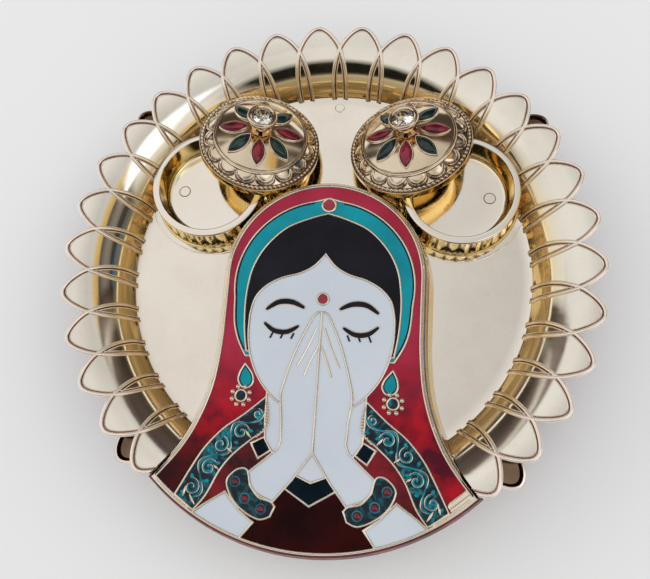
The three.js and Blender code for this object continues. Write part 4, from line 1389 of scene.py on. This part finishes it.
def build_hem_band():
    """The bare gold band at the right end of the hem, with lines along it."""
    inner, outer = HEM_RADIUS - 4.3, HEM_RADIUS - 0.5
    shares = [(0, -0.2), (0.02, 0.1), (0.09, 0.34), (0.17, 0.1), (0.4, 0.08), (0.5, 0.3), (0.58, 0.1),
              (0.78, 0.08), (0.86, 0.34), (0.93, 0.3), (1, -0.2)]
    angles = np.linspace(35.1, HEM_ANGLE - 0.4, 10)
    points = []
    for place, angle in enumerate(angles):
        start = inner if place else inner + 0.6
        for share, height in shares:
            x, y = hem_point(start + (outer - start) * share, angle)
            points.append((x, y, PANEL_TOP + height))
    faces = [face[::-1] for face in grid_faces(len(angles), len(shares), closed=False)]
    make("hem_band", points, faces, [LINE_GOLD], sharp=60)


# Surroundings


def build_world():
    """White for the camera, a pale room with darker parts for gloss and glass, and a plain level for the rest."""
    world = bpy.data.worlds.new("studio")
    bpy.context.scene.world = world
    world.use_nodes = True
    nodes, links = world.node_tree.nodes, world.node_tree.links
    shade = nodes["Background"]
    place = nodes.new("ShaderNodeTexCoord")
    separate = nodes.new("ShaderNodeSeparateXYZ")
    links.new(place.outputs["Generated"], separate.inputs["Vector"])

    def ramp(source, stops):
        made = nodes.new("ShaderNodeValToRGB")
        elements = made.color_ramp.elements
        while len(elements) < len(stops):
            elements.new(0.5)
        for element, (position, colour) in zip(elements, stops):
            element.position = position
            colour = colour if isinstance(colour, tuple) else (colour,) * 3
            element.color = (*colour, 1)
        links.new(source, made.inputs["Fac"])
        return made.outputs["Color"]

    def half(axis):
        made = nodes.new("ShaderNodeMapRange")
        made.inputs["From Min"].default_value = -1
        links.new(separate.outputs[axis], made.inputs["Value"])
        return made.outputs["Result"]

    def zone(*limits):
        """1 between the two inner limits of each source and 0 beyond the outer two."""
        shares = None
        for source, start, full, last, end in limits:
            for low, high in ((start, full), (end, last)):
                if abs(low) > 1:
                    continue
                made = nodes.new("ShaderNodeMapRange")
                made.inputs["From Min"].default_value = low
                made.inputs["From Max"].default_value = high
                links.new(source, made.inputs["Value"])
                if shares is None:
                    shares = made.outputs["Result"]
                    continue
                product = nodes.new("ShaderNodeMath")
                product.operation = "MULTIPLY"
                links.new(shares, product.inputs[0])
                links.new(made.outputs["Result"], product.inputs[1])
                shares = product.outputs[0]
        return shares

    def mixed(share, first, second, mode="MIX"):
        made = nodes.new("ShaderNodeMix")
        made.data_type, made.blend_type = "RGBA", mode
        for key, value in ((0, share), (6, first), (7, second)):
            if isinstance(value, (int, float)):
                made.inputs[key].default_value = value
            elif isinstance(value, tuple):
                made.inputs[key].default_value = (*value, 1)
            else:
                links.new(value, made.inputs[key])
        return made.outputs[2]

    height, east, north = separate.outputs["Z"], half("X"), half("Y")
    up = ramp(height, [
        (0.0, 0.4), (0.24, 0.36), (0.36, 0.34), (0.5, 0.56), (0.66, 0.8), (0.85, 0.84), (1.0, 0.8)])
    sides = ramp(east, [
        (0.0, 0.55), (0.1, 0.8), (0.16, 1.05), (0.3, 1.0), (0.5, 0.98), (0.55, 0.86), (0.6, 0.77), (0.66, 0.77),
        (0.74, 1.0), (1.0, 1.0)])
    stripes = ramp(east, [
        (0.0, 0.97), (0.42, 0.98), (0.6, 0.74), (0.66, 0.76), (0.69, (0.85, 0.64, 0.28)),
        (0.75, (0.7, 0.48, 0.18)), (0.765, 0.08), (0.79, (0.2, 0.16, 0.14)), (0.84, (0.3, 0.28, 0.27)),
        (0.88, (0.28, 0.26, 0.25)), (0.9, (0.1, 0.08, 0.07)), (1.0, 0.12)])
    room = mixed(1.0, up, mixed(zone((north, 0.48, 0.51, 0.72, 0.76)), sides, stripes), "MULTIPLY")
    room = mixed(zone((east, 0.895, 0.905, 0.955, 0.965), (north, 0.48, 0.51, 0.72, 0.76),
                      (height, 0.29, 0.32, 0.42, 0.45)), room, (0.035, 0.11, 0.26))
    back = ramp(north, [(0.0, 1.0), (0.71, 1.0), (0.73, (0.2, 0.15, 0.13)), (0.77, (0.3, 0.25, 0.22)),
                        (0.785, (0.85, 0.8, 0.75)), (0.8, (0.6, 0.55, 0.5)), (0.81, (0.22, 0.17, 0.15)),
                        (0.85, (0.12, 0.09, 0.08)), (1.0, (0.3, 0.25, 0.22))])
    room = mixed(1.0, room, mixed(zone((height, -2, -2, 0.75, 0.8)), (1.0, 1.0, 1.0), back), "MULTIPLY")
    room = mixed(zone((north, -2, -2, 0.22, 0.3), (height, 0.44, 0.52, 2, 3), (east, 0.1, 0.18, 0.66, 0.76)),
                 room, (0.01, 0.008, 0.006))
    room = mixed(zone((east, -2, -2, 0.12, 0.16), (north, 0.38, 0.46, 0.7, 0.73)), room, (0.8, 0.8, 0.79))
    room = mixed(zone((east, 0.6, 0.64, 0.83, 0.86), (north, 0.36, 0.4, 0.53, 0.55), (height, 0.7, 0.74, 2, 3)),
                 room, (1.25, 1.3, 1.38))
    backdrop = mixed(zone((height, -2, -2, 0.16, 0.2)), room, (1.0, 1.0, 1.0))
    path = nodes.new("ShaderNodeLightPath")
    backdrop = mixed(path.outputs["Is Camera Ray"], backdrop, (1.0, 1.0, 1.0))
    shown = path.outputs["Is Camera Ray"]
    for ray in ("Is Glossy Ray", "Is Transmission Ray"):
        either = nodes.new("ShaderNodeMath")
        either.operation = "MAXIMUM"
        links.new(shown, either.inputs[0])
        links.new(path.outputs[ray], either.inputs[1])
        shown = either.outputs[0]
    links.new(mixed(shown, (0.8, 0.8, 0.8), backdrop), shade.inputs["Color"])
    shade.inputs["Strength"].default_value = 1.0


def add_lamp(name, place, size, power):
    lamp = bpy.data.lights.new(name, "AREA")
    lamp.shape = "RECTANGLE"
    lamp.size, lamp.size_y = size
    lamp.energy = power
    holder = bpy.data.objects.new(name, lamp)
    holder.location = place
    holder.rotation_euler = (-Vector(place)).to_track_quat("-Z", "Y").to_euler()
    holder.visible_glossy = False
    bpy.context.scene.collection.objects.link(holder)


def build_stage():
    mesh = bpy.data.meshes.new("studio_floor")
    size = 3.0
    mesh.from_pydata([(-size, -size, 0), (size, -size, 0), (size, size, 0), (-size, size, 0)], [], [(0, 1, 2, 3)])
    finish = Finish("studio_floor")
    finish.set(
        Base_Color=finish.ramp(finish.noise(6, 2, 0.5), [(0.3, (0.86, 0.86, 0.86)), (0.7, (0.88, 0.88, 0.88))]),
        Roughness=0.9,
    )
    finish.shader.inputs["Specular IOR Level"].default_value = 0.1
    mesh.materials.append(finish.material)
    floor = bpy.data.objects.new("studio_floor", mesh)
    bpy.context.scene.collection.objects.link(floor)
    add_lamp("key_light", (-1.9, 0.54, 1.0), (1.45, 1.1), 7.8)
    add_lamp("fill_light", (1.45, 0.54, 1.26), (1.1, 1.1), 3.9)


def build_camera():
    camera = bpy.data.cameras.new("camera")
    camera.sensor_fit = "HORIZONTAL"
    camera.sensor_width = 36
    camera.lens = 33.93
    camera.clip_start = 0.01
    holder = bpy.data.objects.new("camera", camera)
    right = Vector((0.9943, 0.0648, -0.0852))
    up = Vector((-0.038, 0.9578, 0.285))
    back = right.cross(up).normalized()
    up = back.cross(right).normalized()
    turn = Matrix((right.normalized(), up, back)).transposed().to_4x4()
    holder.matrix_world = Matrix.Translation((0.02286, -0.0728, 0.23846)) @ turn
    bpy.context.scene.collection.objects.link(holder)
    scene = bpy.context.scene
    scene.camera = holder
    scene.view_settings.view_transform = "Standard"


build_tray()
build_beads()
build_cup(-1, "cup_left")
build_cup(1, "cup_right")
build_floor_marks()
for part, angle in (("back", 52.94), ("front", 137.65)):
    for side_name, side in (("left", -1), ("right", 1)):
        build_foot(f"foot_{part}_{side_name}", math.pi / 2 - side * math.radians(angle))
build_lid(-1, "left")
build_lid(1, "right")
build_panel()
build_face_lines()
build_band_lines()
build_jewels()
build_scrolls()
build_strip()
build_hem_band()
build_world()
build_stage()
build_camera()
